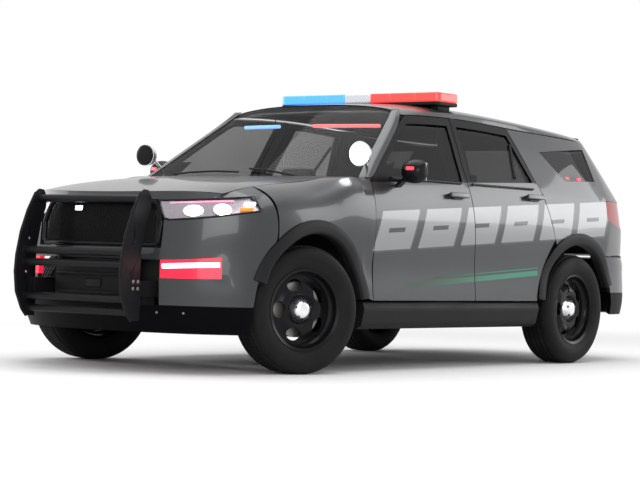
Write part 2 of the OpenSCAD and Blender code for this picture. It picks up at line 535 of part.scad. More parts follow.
gate_cells = [for (k = [-4 : 3]) [for (j = [0 : gate_last - 1]) (k < 0 ? -k - 1 : k) < 3 && (j == 4 || j == 5) ? 0 : 1]];
module tailgate() {
    outer = mirror_y(gate_half);
    inner = mirror_y(gate_under);
    color(paint) shell(outer, inner, gate_cells, flips(outer, inner));
}
module tailgate_glass() {
    function pane(d) = mirror_y([for (i = [0 : 3]) [for (j = [4 : 6]) lerp(gate_half[i][j], gate_under[i][j], d)
        + glass_play * [0, i == 3 ? -1 : 0, j == 4 ? 1 : j == 6 ? -1 : 0]]]);
    face = pane(0.15);
    back = pane(0.15 + glass_wall / gate_wall);
    color("#1c2023") shell(face, back, all_cells(face), flips(face, back));
}
holder_z = 900;
module number_plate_holder() color(black) difference() {
    translate([tail_x(holder_z - 85) - seat_gap - 12, -270, holder_z - 85]) cube([12, 540, 170]);
    for (y = [-plate_bolts / 2, plate_bolts / 2])
        translate([tail_x(holder_z) - 60, y, holder_z + 40]) rotate([0, 90, 0]) cylinder(h = 80, d = plate_hole, $fn = 32);
}

// ---- Flares and sill covers ----
// Steps of a flare from its top to either end, its gap over the paint and the depth of its inner lip
flare_steps = 9;
flare_seat = 7.6;
flare_lip = 44;
function flare_ring(axle, a, r_in, r_out) = let (
    // Radius and height above the painted side of each corner of the section
    corners = [[r_out, flare_seat], [r_out - 3, 9], [r_out - 30, flare_proud], [r_in + 10, flare_proud - 2],
        [r_in, 2], [r_in, -flare_lip], [r_in + 11, -flare_lip], [r_in + 12, flare_seat], [(r_in + r_out) / 2, flare_seat]])
    [for (c = corners) let (x = axle + c[0] * cos(a), z = axle_z + c[0] * sin(a)) [x, side_y(x, z) + c[1], z]];
module flare(axle, a0, a1) loft([for (k = [-flare_steps : flare_steps])
    flare_ring(axle, lerp(90, k < 0 ? a0 : a1, abs(k) / flare_steps), arch_radius, flare_radius)]);
sill_x0 = rear_axle + flare_radius - 30;
sill_x1 = front_axle - flare_radius + 40;
module wheel_arch_flares() color(black) both_sides() {
    flare(front_axle, 19, 172);
    flare(rear_axle, 8, 160);
    loft([for (t = [0, 0.5, 1]) let (x = lerp(sill_x0, sill_x1, t))
        [[x, post_y + seat_gap, door_bottom - 8], [x, half_width - 26, door_bottom - 8], [x, half_width - 8, door_bottom - 50],
            [x, half_width - 30, sill_bottom + 24], [x, half_width - 70, sill_bottom], [x, post_y + seat_gap, sill_bottom]]]);
}

// ---- Push bumper ----
guard_y = guard_span / 2;
guard_back = nose_tip + 14;
// Outline of an upright: distance behind the foremost point, and height
guard_outline = [[188, 1056], [150, 1030], [92, 930], [40, 800], [8, 660], [0, 560], [14, 440], [62, 340], [100, 300],
    [172, 300], [182, 420], [172, 560], [176, 700], [208, 850], [246, 950], [250, 1010], [225, 1052]];
// Height and distance behind the foremost point of each cross tube
guard_bars = [[1000, 188], [690, 88], [620, 88], [350, 122], [420, 100]];
module upright(y) translate([0, y + guard_plate / 2, 0]) rotate([90, 0, 0]) difference() {
    linear_extrude(guard_plate) polygon([for (p = guard_outline) [guard_tip - p[0], p[1]]]);
    for (z = [560, 760]) translate([guard_tip - 96 + (z - 560) * -0.1, z, -1])
        cylinder(h = guard_plate + 2, d = guard_hole, $fn = 32);
}
module push_bumper() color(black) {
    for (side = [-1, 1]) upright(side * guard_y);
    for (bar = guard_bars) translate([guard_tip - bar[1], guard_y - guard_plate / 2, bar[0]]) rotate([90, 0, 0])
        cylinder(h = guard_span - guard_plate, d = guard_tube, $fn = 32);
    for (side = [-1, 1]) translate([beam_x + seat_gap, side * (guard_y - 26) - 20, 440])
        cube([guard_tip - 130 - beam_x - seat_gap, 40, 90]);
}

// ---- Lamps on top ----
bar_z = roof_z(bar_x, 0) + 14;
bar_corner = 42;
module lightbar() {
    foot = roof_point(bar_share, 3);
    color(black) both_sides() {
        translate([bar_x - 70, foot[1] - 30, foot[2] + 10]) cube([140, 60, bar_z - foot[2] - 9]);
        translate(foot + [0, 0, stop_gap]) cylinder(h = 12, r = stop_r, $fn = 24);
    }
    color("red") translate([bar_x, 0, bar_z]) linear_extrude(bar_height) {
        square([bar_depth, bar_length - 2 * bar_corner], center = true);
        square([bar_depth - 2 * bar_corner, bar_length], center = true);
        for (x = [-1, 1], y = [-1, 1]) translate([x * (bar_depth / 2 - bar_corner), y * (bar_length / 2 - bar_corner)])
            circle(r = bar_corner, $fn = 48);
    }
}
spot = [front_axle - 530, 884, 1338];
spot_foot_z = 1262;
module spotlights() color("silver") both_sides() {
    y = glass_y(0, spot_foot_z) - pillar_width / 2;
    foot = [screen_x(y, spot_foot_z) + 4, y, spot_foot_z];
    translate(spot) rotate([0, 90, 0]) rotate_extrude($fn = 40)
        polygon([[0, -76], [34, -70], [62, -44], [76, -6], [78, 6], [0, 12]]);
    rod(foot, spot - [50, 0, 0], 9);
}

// ---- Structure ----
// Round bar between two points
module rod(p, q, r) {
    d = q - p;
    translate(p) rotate([0, acos(d[2] / norm(d)), atan2(d[1], d[0])]) cylinder(h = norm(d), r = r, $fn = 24);
}
module span(low, high) translate(low) cube(high - low);
// Radius of the stops that carry the panels, and their gap
stop_r = 3;
stop_gap = 0.6;
post_y = door_inner_y - 12;
latch_y = door_inner_y - seat_gap;
rail_y = [350, 420];
rail_z = [430, 500];
house_y = 486;
floor_z = [300, 326];
rear_floor_z = 570;
rear_floor_top = rear_floor_z + 18;
toe_x = front_axle - 456;
house_shelf = axle_z + arch_radius + 20;
bonnet_stop = bonnet_point(bonnet_columns[3], bonnet_rows[2]) + [0, 0, -bonnet_wall];
beam_x = nose_tip - 130;
beam_depth = 60;
toe_wall = 14;
sill_top = door_bottom - 12;
module floor_pan() color(black) {
    span([rear_axle + 520, -post_y, floor_z[0]], [toe_x, post_y, floor_z[1]]);
    span([rear_tip + 150, -590, rear_floor_z], [rear_axle + 521, 590, rear_floor_top]);
    span([rear_axle + 520, -700, floor_z[1] - 1], [rear_axle + 540, 700, rear_floor_top]);
    span([rear_tip + 150, -590, rail_z[0]], [rear_tip + 170, 590, 742]);
    both_sides() {
        span([rear_axle + 520, post_y - 80, sill_bottom + 20], [toe_x - toe_wall, post_y, sill_top]);
        span([rear_axle + 530, rail_y[0], floor_z[0] - 40], [toe_x + 30, rail_y[1], floor_z[0] + 1]);
        span([rear_tip + 150, rail_y[0], rail_z[0]], [rear_axle + 540, rail_y[1], rear_floor_z + 1]);
        span([toe_x + 10, rail_y[0], floor_z[0] - 40], [toe_x + 60, rail_y[1], rail_z[0] + 1]);
        span([toe_x + 10, rail_y[0], rail_z[0]], [beam_x - beam_depth - seat_gap, rail_y[1], rail_z[1]]);
        let (p = tail_inner(2, 3)) rod([rear_tip + 160, p[1], p[2]], p + [stop_gap, 0, 0], stop_r);
    }
}
module engine_bay() color(black) {
    // Bulkhead and radiator support
    span([toe_x - toe_wall, -post_y, floor_z[1]], [toe_x, post_y, cowl_z - cowl_wall - seat_gap]);
    span([beam_x - beam_depth, -rail_y[1], rail_z[0] + 10], [beam_x, rail_y[1], 900]);
    both_sides() {
        // Wheel house with its shelf
        span([toe_x, house_y - 10, floor_z[0]], [front_axle + 560, house_y, house_shelf + 12]);
        span([toe_x, rail_y[1], rail_z[0]], [front_axle + 560, house_y, rail_z[0] + 12]);
        span([toe_x, house_y - 10, house_shelf], [front_axle + 340, 880, house_shelf + 12]);
        // Stops under the bonnet, the wing and the bumper
        rod_up(bonnet_stop, house_shelf + 5);
        rod_up(wing_inner[6][len(wing_side_rows) + 1], house_shelf + 5);
        let (p = nose_half_inner[2][4]) rod([beam_x - 5, p[1], p[2]], p - [stop_gap, 0, 0], stop_r);
    }
}
module inner_sides() color(black) both_sides() {
    // Hinge posts, centre posts with hinges and latches, and rear posts
    span([door_front - 70, post_y - 50, sill_top], [toe_x - toe_wall, post_y, bonnet_height - 60]);
    for (z = [600, 960]) span([door_front - 66, post_y - 1, z], [door_front - 34, latch_y, z + 60]);
    for (s = [-1, 1]) span([pillar_belt - 20 + s * 48 - 14, post_y - 1, 820], [pillar_belt - 20 + s * 48 + 14, latch_y, 880]);
    loft([for (z = [sill_top, 1130, 1210, 1400, roof_rail_z + 4]) pillar_post(z)]);
    span([rear_axle + 290, post_y - 40, house_shelf + 12], [rear_axle + 400, post_y, belt_height + 20]);
    span([rear_axle + 360, post_y - 1, 890], [rear_axle + 388, latch_y, 940]);
    // Rear wheel house and the inner wall of the quarter
    span([rear_axle - 460, 575, rear_floor_top], [rear_axle + 540, 590, house_shelf + 12]);
    span([rear_axle - 460, 575, house_shelf], [rear_axle + 540, post_y, house_shelf + 12]);
    span([rear_axle - 640, post_y - 40, house_shelf + 11], [rear_axle + 290, post_y - 28, 1190]);
    // Roof rail
    span([rear_axle - 140, roof_rail_y[0], roof_rail_z], [180, roof_rail_y[1], roof_rail_z + 20]);
    // Stops under the roof, the quarter and the tailgate
    for (i = [2, 5]) rod_up(roof_under(i), roof_rail_z + 10);
    for (k = [[2, 3], [6, 1]]) let (p = quarter_inner[k[0]][k[1]])
        rod([p[0], post_y - 30, p[2]], p - [0, stop_gap, 0], stop_r);
    let (p = gate_under[3][1]) {
        span([p[0] + 40, p[1] - 20, rear_floor_top], [p[0] + 80, p[1] + 20, p[2] + 20]);
        rod([p[0] + 50, p[1], p[2]], p + [2 * stop_gap, 0, 0], stop_r);
    }
}
roof_rail_y = [590, 622];
roof_rail_z = roof_height - 162;
function pillar_post(z) = let (x = middle_shut(z), w = 52,
    y1 = z < 1150 ? post_y : glass_y(x, max(z, belt_height)) - frame_wall - 34, y0 = y1 - 46)
    [[x + w, y1, z], [x - w, y1, z], [x - w, y0, z], [x + w, y0, z]];
function roof_under(i) = roof_point(roof_columns[i], 4) - [0, 0, roof_wall];
module rod_up(p, z) rod([p[0], p[1], z], p - [0, 0, stop_gap], stop_r);
function tail_inner(i, j) = tail_half[i][j] + nose_wall * rear_inward(tail_half[i][j]);

module engine() color("#3a3c3f") {
    span([front_axle - 260, -300, rail_z[0] + 12], [front_axle + 300, 300, 960]);
    both_sides() span([front_axle - 40, 299, rail_z[0] + 20], [front_axle + 40, rail_y[0] - seat_gap, rail_z[1] - 10]);
}
dash_x = [front_axle - 800, toe_x - toe_wall - seat_gap];
module dashboard() color(black) {
    translate([0, 740, 0]) rotate([90, 0, 0]) linear_extrude(1480) polygon([[dash_x[1], 640], [dash_x[1], 1090],
        [dash_x[1] - 90, 1125], [dash_x[0] + 60, 1105], [dash_x[0], 1040], [dash_x[0] + 20, 900], [dash_x[0] + 140, 760]]);
    span([dash_x[0] - 500, -120, floor_z[1]], [dash_x[0] + 60, 120, 620]);
    span([dash_x[0] + 59, -120, floor_z[1]], [dash_x[0] + 100, 120, 800]);
}
wheel_centre = [dash_x[0] - 130, 380, 1010];
module steering_wheel() color(black) translate(wheel_centre) rotate([0, -66, 0]) {
    rotate_extrude($fn = 48) translate([178, 0]) circle(r = 15, $fn = 20);
    cylinder(h = 26, r = 62, center = true, $fn = 32);
    for (a = [0, 120, 240]) rotate([0, 0, a + 90]) translate([50, -18, -7]) cube([116, 36, 14]);
    translate([0, 0, -142]) cylinder(h = 140, r = 24, $fn = 24);
}
// Side outline of a seat: distance ahead of the hip point, and height above its floor
seat_outline = [[330, 90], [330, 210], [300, 250], [-60, 215], [-210, 760], [-240, 800], [-290, 790], [-300, 740],
    [-190, 220], [-170, 90]];
// Ahead of the middle, side offset, width, floor height
seat_places = [[250, 380, 500, 326], [250, -380, 500, 326], [-650, 0, 1180, 326]];
module seats() color(black) for (s = seat_places) translate([s[0], s[1] + s[2] / 2, s[3]]) {
    rotate([90, 0, 0]) linear_extrude(s[2]) polygon(seat_outline);
    for (x = [-140, 220]) translate([x, -s[2] / 2 - 60, 0]) cube([60, 120, 91]);
    for (y = s[2] > 600 ? [-240, -s[2] + 240] : [-s[2] / 2]) {
        translate([-302, y - 130, 815]) cube([86, 260, 160]);
        for (d = [-60, 60]) translate([-262, y + d, 780]) cylinder(h = 40, r = 7, $fn = 24);
    }
}

// ---- Running gear ----
wheel_y = track / 2;
kingpin_y = wheel_y - kingpin_offset;
kingpin_x = front_axle;
arm_low = axle_z - 150;
arm_high = axle_z + 150;
hub_face = wheel_y + 38;
// A front wheel turned on its kingpin; side is 1 on the left
module steered(side) translate([kingpin_x, side * kingpin_y, 0]) rotate([0, 0, -steer_rest])
    translate([0, side * kingpin_offset, axle_z]) rotate([0, 0, side < 0 ? 180 : 0]) children();
module rear_place(side) translate([rear_axle, side * wheel_y, axle_z]) rotate([0, 0, side < 0 ? 180 : 0]) children();
// Half section of the tyre: radius, and distance from its centre plane
bead = 95;
module tyre() color("#141414") rotate([-90, 0, 0]) rotate_extrude($fn = 96) polygon([
    [tyre_radius - 9, -tyre_width / 2 + 26], [tyre_radius - 1.5, -tyre_width / 2 + 46], [tyre_radius, -30], [tyre_radius, 30],
    [tyre_radius - 1.5, tyre_width / 2 - 46], [tyre_radius - 9, tyre_width / 2 - 26], [tyre_radius - 30, tyre_width / 2 - 8],
    [tyre_radius - 66, tyre_width / 2], [tyre_radius - 104, tyre_width / 2 - 6], [rim_radius + 3, bead + 12],
    [rim_radius - 12, bead], [rim_radius - 14.6, bead - 20], [rim_radius + 4, bead - 26], [tyre_radius - 60, tyre_width / 2 - 16],
    [tyre_radius - 18, tyre_width / 2 - 40], [tyre_radius - 18, -tyre_width / 2 + 40], [tyre_radius - 60, -tyre_width / 2 + 16],
    [rim_radius + 4, -bead + 26], [rim_radius - 14.6, -bead + 20], [rim_radius - 12, -bead], [rim_radius + 3, -bead - 12],
    [tyre_radius - 104, -tyre_width / 2 + 6], [tyre_radius - 66, -tyre_width / 2], [tyre_radius - 30, -tyre_width / 2 + 8]]);
rim_holes = 5;
module rim_shape() color(steel) rotate([-90, 0, 0]) difference() {
    union() {
        rotate_extrude($fn = 96) polygon([
            [rim_radius, bead + 14], [rim_radius, bead + 10.4], [rim_radius - 12.6, bead + 0.8], [rim_radius - 15.4, bead - 24],
            [rim_radius - 30, bead - 40], [rim_radius - 32, -bead + 60], [rim_radius - 15.2, -bead + 40],
            [rim_radius - 15.2, -bead + 18], [rim_radius - 12.6, -bead - 0.8], [rim_radius, -bead - 10.4], [rim_radius, -bead - 14],
            [rim_radius - 18, -bead - 6], [rim_radius - 24, -bead + 40], [rim_radius - 42, -bead + 62],
            [rim_radius - 40, bead - 46], [rim_radius - 22, bead - 26], [rim_radius - 18, bead + 6]]);
        rotate_extrude($fn = 96) polygon([[36, 45], [78, 45], [96, 66], [128, 70], [176, 48], [206, 44],
            [206, 38], [172, 40], [126, 61], [100, 57], [84, 38], [36, 38]]);
    }
    for (k = [0 : rim_holes - 1]) rotate([0, 0, k * 360 / rim_holes]) translate([150, 0, 20]) {
        scale_hole();
    }
}
module scale_hole() for (a = [-1, 0, 1]) rotate([0, 0, a * 4]) translate([0, a * 26, 0]) cylinder(h = 70, r = 21, $fn = 32);
// Lug nuts and the domed centre cap turn with the rim
module hub_cap() color("silver") rotate([-90, 0, 0]) {
    rotate_extrude($fn = 64) polygon([[0, 45.4], [70, 45.4], [70, 52], [52, 84], [40, 94], [0, 98]]);
}
module wheel_rim() {
    rim_shape();
    hub_cap();
}
module knuckle_shape() color("#55565a") {
    rotate([-90, 0, 0]) translate([0, 0, 38 - seat_gap - 14]) cylinder(h = 14, r = 72, $fn = 64);
    rotate([-90, 0, 0]) translate([0, 0, 38 - seat_gap - 1]) cylinder(h = 8, r = 34, $fn = 48);
    rotate([-90, 0, 0]) translate([0, 0, -kingpin_offset - 30]) cylinder(h = kingpin_offset + 56, r = 44, $fn = 48);
    translate([-24, -kingpin_offset - 24, arm_low - axle_z + 18]) cube([48, 48, arm_high - arm_low - 36]);
    translate([-70, -kingpin_offset - 26, -90]) cube([140, 14, 180]);
}
module front_suspension() color("#3a3b3e") {
    span([front_axle - 70, -rail_y[1], arm_low - 12], [front_axle + 70, rail_y[1], arm_low + 60]);
    both_sides() {
        span([front_axle - 60, rail_y[0], arm_low + 59], [front_axle + 60, rail_y[1], rail_z[0] - seat_gap]);
        span([front_axle - 26, rail_y[1] - 1, arm_low - 12], [front_axle + 26, kingpin_y - 20, arm_low + 12]);
        translate([kingpin_x, kingpin_y, arm_low - 14]) cylinder(h = 30, r = 26, $fn = 40);
        translate([kingpin_x, kingpin_y, arm_low + 15]) cylinder(h = 3 - seat_gap, r = 14, $fn = 32);
        span([front_axle - 24, house_y + seat_gap, arm_high - 10], [front_axle + 24, kingpin_y - 18, arm_high + 10]);
        translate([kingpin_x, kingpin_y, arm_high - 14]) cylinder(h = 28, r = 24, $fn = 40);
        translate([kingpin_x, kingpin_y, arm_high - 18 + seat_gap]) cylinder(h = 5, r = 14, $fn = 32);
        // Spring and damper from the lower arm to the wheel house shelf
        translate([front_axle + 70, 560, arm_low + 40]) cylinder(h = 30, r = 30, $fn = 32);
        span([front_axle + 20, 540, arm_low - 10], [front_axle + 90, 580, arm_low + 41]);
        translate([front_axle + 70, 560, arm_low + 69]) cylinder(h = house_shelf - arm_low - 69 - seat_gap, r = 22, $fn = 32);
    }
}
module rear_suspension() color("#3a3b3e") {
    span([rear_axle - 60, -rail_y[1] - 60, rail_z[0] - 90], [rear_axle + 60, rail_y[1] + 60, rail_z[0] - seat_gap]);
    both_sides() {
        rod([rear_axle, rail_y[1], axle_z], [rear_axle, wheel_y - 30, axle_z], 28);
        span([rear_axle - 34, rail_y[1] + 40, axle_z - 110], [rear_axle + 34, wheel_y - 40, axle_z - 70]);
        span([rear_axle - 70, wheel_y - 60, axle_z - 110], [rear_axle + 70, wheel_y - 34, axle_z + 90]);
        span([rear_axle - 40, rail_y[1] + 40, axle_z - 110], [rear_axle + 40, rail_y[1] + 60, rail_z[0] - 40]);
        translate([rear_axle, wheel_y - 35, axle_z]) rotate([-90, 0, 0]) cylinder(h = 73 - seat_gap, r = 60, $fn = 64);
        translate([rear_axle, wheel_y + 37 - seat_gap, axle_z]) rotate([-90, 0, 0]) cylinder(h = 8, r = 34, $fn = 48);
    }
}
pipe_r = 30;
pipe_z = floor_z[0] - pipe_r - seat_gap;
module exhaust() color("#6a6a68") {
    rod([front_axle - 500, -180, pipe_z], [rear_axle + 300, -180, pipe_z], pipe_r);
    span([rear_axle + 90, -rail_y[0] + seat_gap, pipe_z - 40], [rear_axle + 320, -120, 420]);
    span([rear_axle - 900, -rail_y[0] + seat_gap, 350], [rear_axle - 420, -60, 520]);
    span([rear_axle - 421, -300, 470], [rear_axle + 100, -240, 520]);
    span([rear_axle + 60, -300, 330], [rear_axle + 100, -240, 520]);
}

// ---- Mirrors ----
mirror_x = 640;
mirror_z = 1246;
mirror_y0 = half_width - 12;
mirror_reach = 158;
// Depth and height of the housing along its width: share of the reach, half depth, half height
mirror_rings = [[0, 40, 46], [0.12, 58, 72], [0.5, 66, 82], [0.85, 56, 72], [1, 34, 44]];
function door_skin(x, z) = let (z0 = door_z(x, window_row - 1), z1 = door_z(x, window_row))
    lerp(side_y(x, z0), side_y(x, z1), (z - z0) / (z1 - z0));
module mirror_shape() color(black) {
    loft([for (m = mirror_rings) [for (a = [0 : 30 : 330])
        [mirror_x + m[1] * (cos(a) > 0 ? 1.2 : 0.7) * cos(a), mirror_y0 + m[0] * mirror_reach, mirror_z + m[2] * sin(a)]]]);
    loft([for (t = [0, 1]) [for (c = [[26, 1142], [26, 1164], [-26, 1166], [-26, 1146]])
        let (x = mirror_x + 20 + c[0]) [x, lerp(door_skin(x, c[1]) + seat_gap, mirror_y0 + 30, t), c[1] + t * 52]]]);
}

module front_door_left() color(paint) door(true);
module front_door_right() mirror([0, 1, 0]) front_door_left();
module rear_door_left() color(paint) door(false);
module rear_door_right() mirror([0, 1, 0]) rear_door_left();
module front_glass_left() color("#1c2023") door_glass(true);
module front_glass_right() mirror([0, 1, 0]) front_glass_left();
module rear_glass_left() color("#1c2023") door_glass(false);
module rear_glass_right() mirror([0, 1, 0]) rear_glass_left();
module mirror_left() mirror_shape();
module mirror_right() mirror([0, 1, 0]) mirror_shape();
module knuckle_left() steered(1) knuckle_shape();
module knuckle_right() steered(-1) knuckle_shape();
module tyre_front_left() steered(1) tyre();
module tyre_front_right() steered(-1) tyre();
module tyre_rear_left() rear_place(1) tyre();
module tyre_rear_right() rear_place(-1) tyre();
module rim_front_left() steered(1) wheel_rim();
module rim_front_right() steered(-1) wheel_rim();
module rim_rear_left() rear_place(1) wheel_rim();
module rim_rear_right() rear_place(-1) wheel_rim();

floor_pan();
engine_bay();
inner_sides();
body_sides();
roof();
windshield();
quarter_glass();
front_fenders();
front_bumper();
grille();
headlamps();
rear_bumper();
tail_lamps();
wheel_arch_flares();
push_bumper();
lightbar();
spotlights();
engine();
dashboard();
steering_wheel();
seats();
front_suspension();
rear_suspension();
exhaust();
hood();
front_door_left();
front_door_right();
rear_door_left();
rear_door_right();
front_glass_left();
front_glass_right();
rear_glass_left();
rear_glass_right();
mirror_left();
mirror_right();
tailgate();
tailgate_glass();
number_plate_holder();
knuckle_left();
knuckle_right();
tyre_front_left();
tyre_front_right();
tyre_rear_left();
tyre_rear_right();
rim_front_left();
rim_front_right();
rim_rear_left();
rim_rear_right();
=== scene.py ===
import json
import math
import bpy
from mathutils import Matrix, Vector
from mathutils.bvhtree import BVHTree


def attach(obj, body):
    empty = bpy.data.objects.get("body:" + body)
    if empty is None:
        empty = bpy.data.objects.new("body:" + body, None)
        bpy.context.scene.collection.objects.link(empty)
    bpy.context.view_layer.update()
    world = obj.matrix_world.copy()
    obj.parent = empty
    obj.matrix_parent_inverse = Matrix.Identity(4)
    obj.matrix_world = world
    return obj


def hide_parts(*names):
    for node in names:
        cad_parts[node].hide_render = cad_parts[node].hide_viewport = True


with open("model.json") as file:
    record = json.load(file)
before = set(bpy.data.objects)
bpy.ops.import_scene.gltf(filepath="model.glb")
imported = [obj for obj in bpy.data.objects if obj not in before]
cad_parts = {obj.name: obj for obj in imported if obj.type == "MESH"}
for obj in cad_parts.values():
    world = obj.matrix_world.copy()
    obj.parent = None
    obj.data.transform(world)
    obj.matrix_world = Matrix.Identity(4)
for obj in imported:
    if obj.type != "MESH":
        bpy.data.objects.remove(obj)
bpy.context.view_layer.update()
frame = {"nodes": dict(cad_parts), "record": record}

nodes = frame["nodes"]
sides = {"left": 1, "right": -1}
print("frame loaded")

# ---- Camera, light and floor ----
camera = {"place": (11.465, 8.594, 0.702), "yaw": 217.393, "pitch": 0.436, "roll": 1.690, "lens": 119.2}


def makeCamera():
    yaw, pitch, roll = (math.radians(camera[key]) for key in ("yaw", "pitch", "roll"))
    ahead = Vector((math.cos(pitch) * math.cos(yaw), math.cos(pitch) * math.sin(yaw), math.sin(pitch)))
    right = Vector((math.sin(yaw), -math.cos(yaw), 0))
    up = right.cross(ahead)
    across = right * math.cos(roll) + up * math.sin(roll)
    upright = up * math.cos(roll) - right * math.sin(roll)
    turn = Matrix((across, upright, -ahead)).transposed()
    bpy.ops.object.camera_add(location=camera["place"], rotation=turn.to_euler())
    bpy.context.scene.camera = bpy.context.object
    bpy.context.object.data.lens = camera["lens"]
    bpy.context.object.data.clip_end = 200


# ---- Shader sums ----
class Tap:  # one socket that takes part in sums
    def __init__(self, finish, socket):
        self.finish, self.socket = finish, socket

    def __add__(self, other): return self.finish.maths("ADD", self, other)
    def __sub__(self, other): return self.finish.maths("SUBTRACT", self, other)
    def __rsub__(self, other): return self.finish.maths("SUBTRACT", other, self)
    def __mul__(self, other): return self.finish.maths("MULTIPLY", self, other)
    def __truediv__(self, other): return self.finish.maths("DIVIDE", self, other)
    def __gt__(self, other): return self.finish.maths("GREATER_THAN", self, other)
    def __lt__(self, other): return self.finish.maths("LESS_THAN", self, other)
    def __abs__(self): return self.finish.maths("ABSOLUTE", self)
    __radd__ = __add__
    __rmul__ = __mul__


class Finish:  # a material while it is being built
    def __init__(self, name, **constants):
        self.material = bpy.data.materials.new(name)
        self.material.use_nodes = True
        self.tree = self.material.node_tree
        self.shader = next(n for n in self.tree.nodes if n.type == "BSDF_PRINCIPLED")
        self.placeTaps = None
        for key, value in constants.items():
            socket = self.shader.inputs[key.replace("_", " ").title().replace("Ior", "IOR")]
            socket.default_value = (*value, 1) if isinstance(value, tuple) and len(value) == 3 else value

    def node(self, kind, settings=None, inputs=None, out=0):
        made = self.tree.nodes.new(kind)
        for key, value in (settings or {}).items():
            setattr(made, key, value)
        for key, value in (inputs or {}).items():
            if isinstance(value, Tap):
                self.tree.links.new(value.socket, made.inputs[key])
            elif value is not None:
                made.inputs[key].default_value = (*value, 1) if isinstance(value, tuple) and len(value) == 3 \
                    and made.inputs[key].type == "RGBA" else value
        return Tap(self, made.outputs[out])

    def maths(self, operation, *values):
        return self.node("ShaderNodeMath", {"operation": operation}, dict(enumerate(values)))

    def place(self):  # x, y and z on the car, in metres
        if not self.placeTaps:
            spot = self.node("ShaderNodeTexCoord", out="Object")
            self.spot = spot
            self.placeTaps = [self.node("ShaderNodeSeparateXYZ", inputs={0: spot}, out=k) for k in range(3)]
        return self.placeTaps

    def facing(self, axis):  # the piece's own normal along x, y or z
        normal = self.node("ShaderNodeTexCoord", out="Normal")
        return self.node("ShaderNodeSeparateXYZ", inputs={0: normal}, out=axis)

    def rise(self, value, low, high):  # 0 below low, 1 above high, smooth between
        return self.node("ShaderNodeMapRange", {"interpolation_type": "SMOOTHSTEP"}, {0: value, 1: low, 2: high})

    def band(self, value, low, high, soft=0.002):
        return self.rise(value, low - soft, low + soft) * (1 - self.rise(value, high - soft, high + soft))

    def mix(self, factor, first, second):  # two colours
        return self.node("ShaderNodeMix", {"data_type": "RGBA"}, {0: factor, 6: first, 7: second}, out=2)

    def noise(self, scale, detail=3, roughness=0.5):
        self.place()
        return self.node("ShaderNodeTexNoise", {}, {"Vector": self.spot, "Scale": scale, "Detail": detail,
            "Roughness": roughness})

    def feed(self, name, tap):
        self.tree.links.new(tap.socket, self.shader.inputs[name])
        return self

    def bump(self, height, strength, depth):
        return self.feed("Normal", self.node("ShaderNodeBump", {}, {"Strength": strength, "Distance": depth,
            "Height": height}))


world = {"diffuse": 0.50, "seen": 1.0}
lamps = {  # name: place, aimed at, size, watts
    "overhead": ((0.5, 0, 7.0), (0, 0, 0), (9.0, 6.0), 380),
    "key": ((8.5, 7.0, 3.4), (0.8, 0.4, 0.6), (7.0, 4.0), 330),
    "rim": ((-7.0, 5.0, 3.2), (-1.0, 0.3, 0.9), (5.0, 3.0), 170),
    "far": ((2.5, -8.0, 3.2), (0.0, 0.0, 0.9), (6.0, 3.0), 170),
}
floor = {"reach": 60.0, "shade": (0.93, 0.93, 0.93), "fadeFrom": 3.4, "fadeTo": 7.5}


def makeLight():
    scene = bpy.context.scene
    scene.view_settings.view_transform = "Standard"
    sky = bpy.data.worlds.new("studio")
    scene.world = sky
    sky.use_nodes = True
    tree = sky.node_tree
    back = tree.nodes["Background"]
    back.inputs[0].default_value = (1, 1, 1, 1)
    path = tree.nodes.new("ShaderNodeLightPath")
    both = tree.nodes.new("ShaderNodeMath")
    both.operation = "MAXIMUM"
    tree.links.new(path.outputs["Is Camera Ray"], both.inputs[0])
    tree.links.new(path.outputs["Is Glossy Ray"], both.inputs[1])
    every = tree.nodes.new("ShaderNodeMath")
    every.operation = "MAXIMUM"
    tree.links.new(both.outputs[0], every.inputs[0])
    tree.links.new(path.outputs["Is Transmission Ray"], every.inputs[1])
    level = tree.nodes.new("ShaderNodeMapRange")
    tree.links.new(every.outputs[0], level.inputs[0])
    level.inputs["To Min"].default_value = world["diffuse"]
    level.inputs["To Max"].default_value = world["seen"]
    tree.links.new(level.outputs[0], back.inputs["Strength"])
    for name, (place, aim, size, watts) in lamps.items():
        turn = (Vector(place) - Vector(aim)).to_track_quat("Z", "Y").to_euler()
        bpy.ops.object.light_add(type="AREA", location=place, rotation=turn)
        lamp = bpy.context.object
        lamp.name = name
        lamp.data.shape = "RECTANGLE"
        lamp.data.size, lamp.data.size_y = size
        lamp.data.energy = watts


def makeFloor():
    bpy.ops.mesh.primitive_plane_add(size=floor["reach"])
    slab = bpy.context.object
    slab.name = "floor"
    finish = Finish("floor", roughness=0.7, specular_ior_level=0.2, base_color=floor["shade"])
    x, y, z = finish.place()
    away = finish.maths("SQRT", x * x * 0.55 + y * y * 1.3)
    seen = finish.node("ShaderNodeLightPath", out="Is Camera Ray")
    glossy = finish.node("ShaderNodeLightPath", out="Is Glossy Ray")
    through = finish.node("ShaderNodeLightPath", out="Is Transmission Ray")
    watched = finish.maths("MAXIMUM", finish.maths("MAXIMUM", seen, glossy), through)
    glow = finish.node("ShaderNodeEmission", {}, {"Color": (1.0, 1.0, 1.0), "Strength": 1.0})
    factor = finish.rise(away, floor["fadeFrom"], floor["fadeTo"]) * watched
    both = finish.node("ShaderNodeMixShader", {}, {0: factor, 1: Tap(finish, finish.shader.outputs[0]), 2: glow})
    output = next(n for n in finish.tree.nodes if n.type == "OUTPUT_MATERIAL")
    finish.tree.links.new(both.socket, output.inputs["Surface"])
    slab.data.materials.append(finish.material)


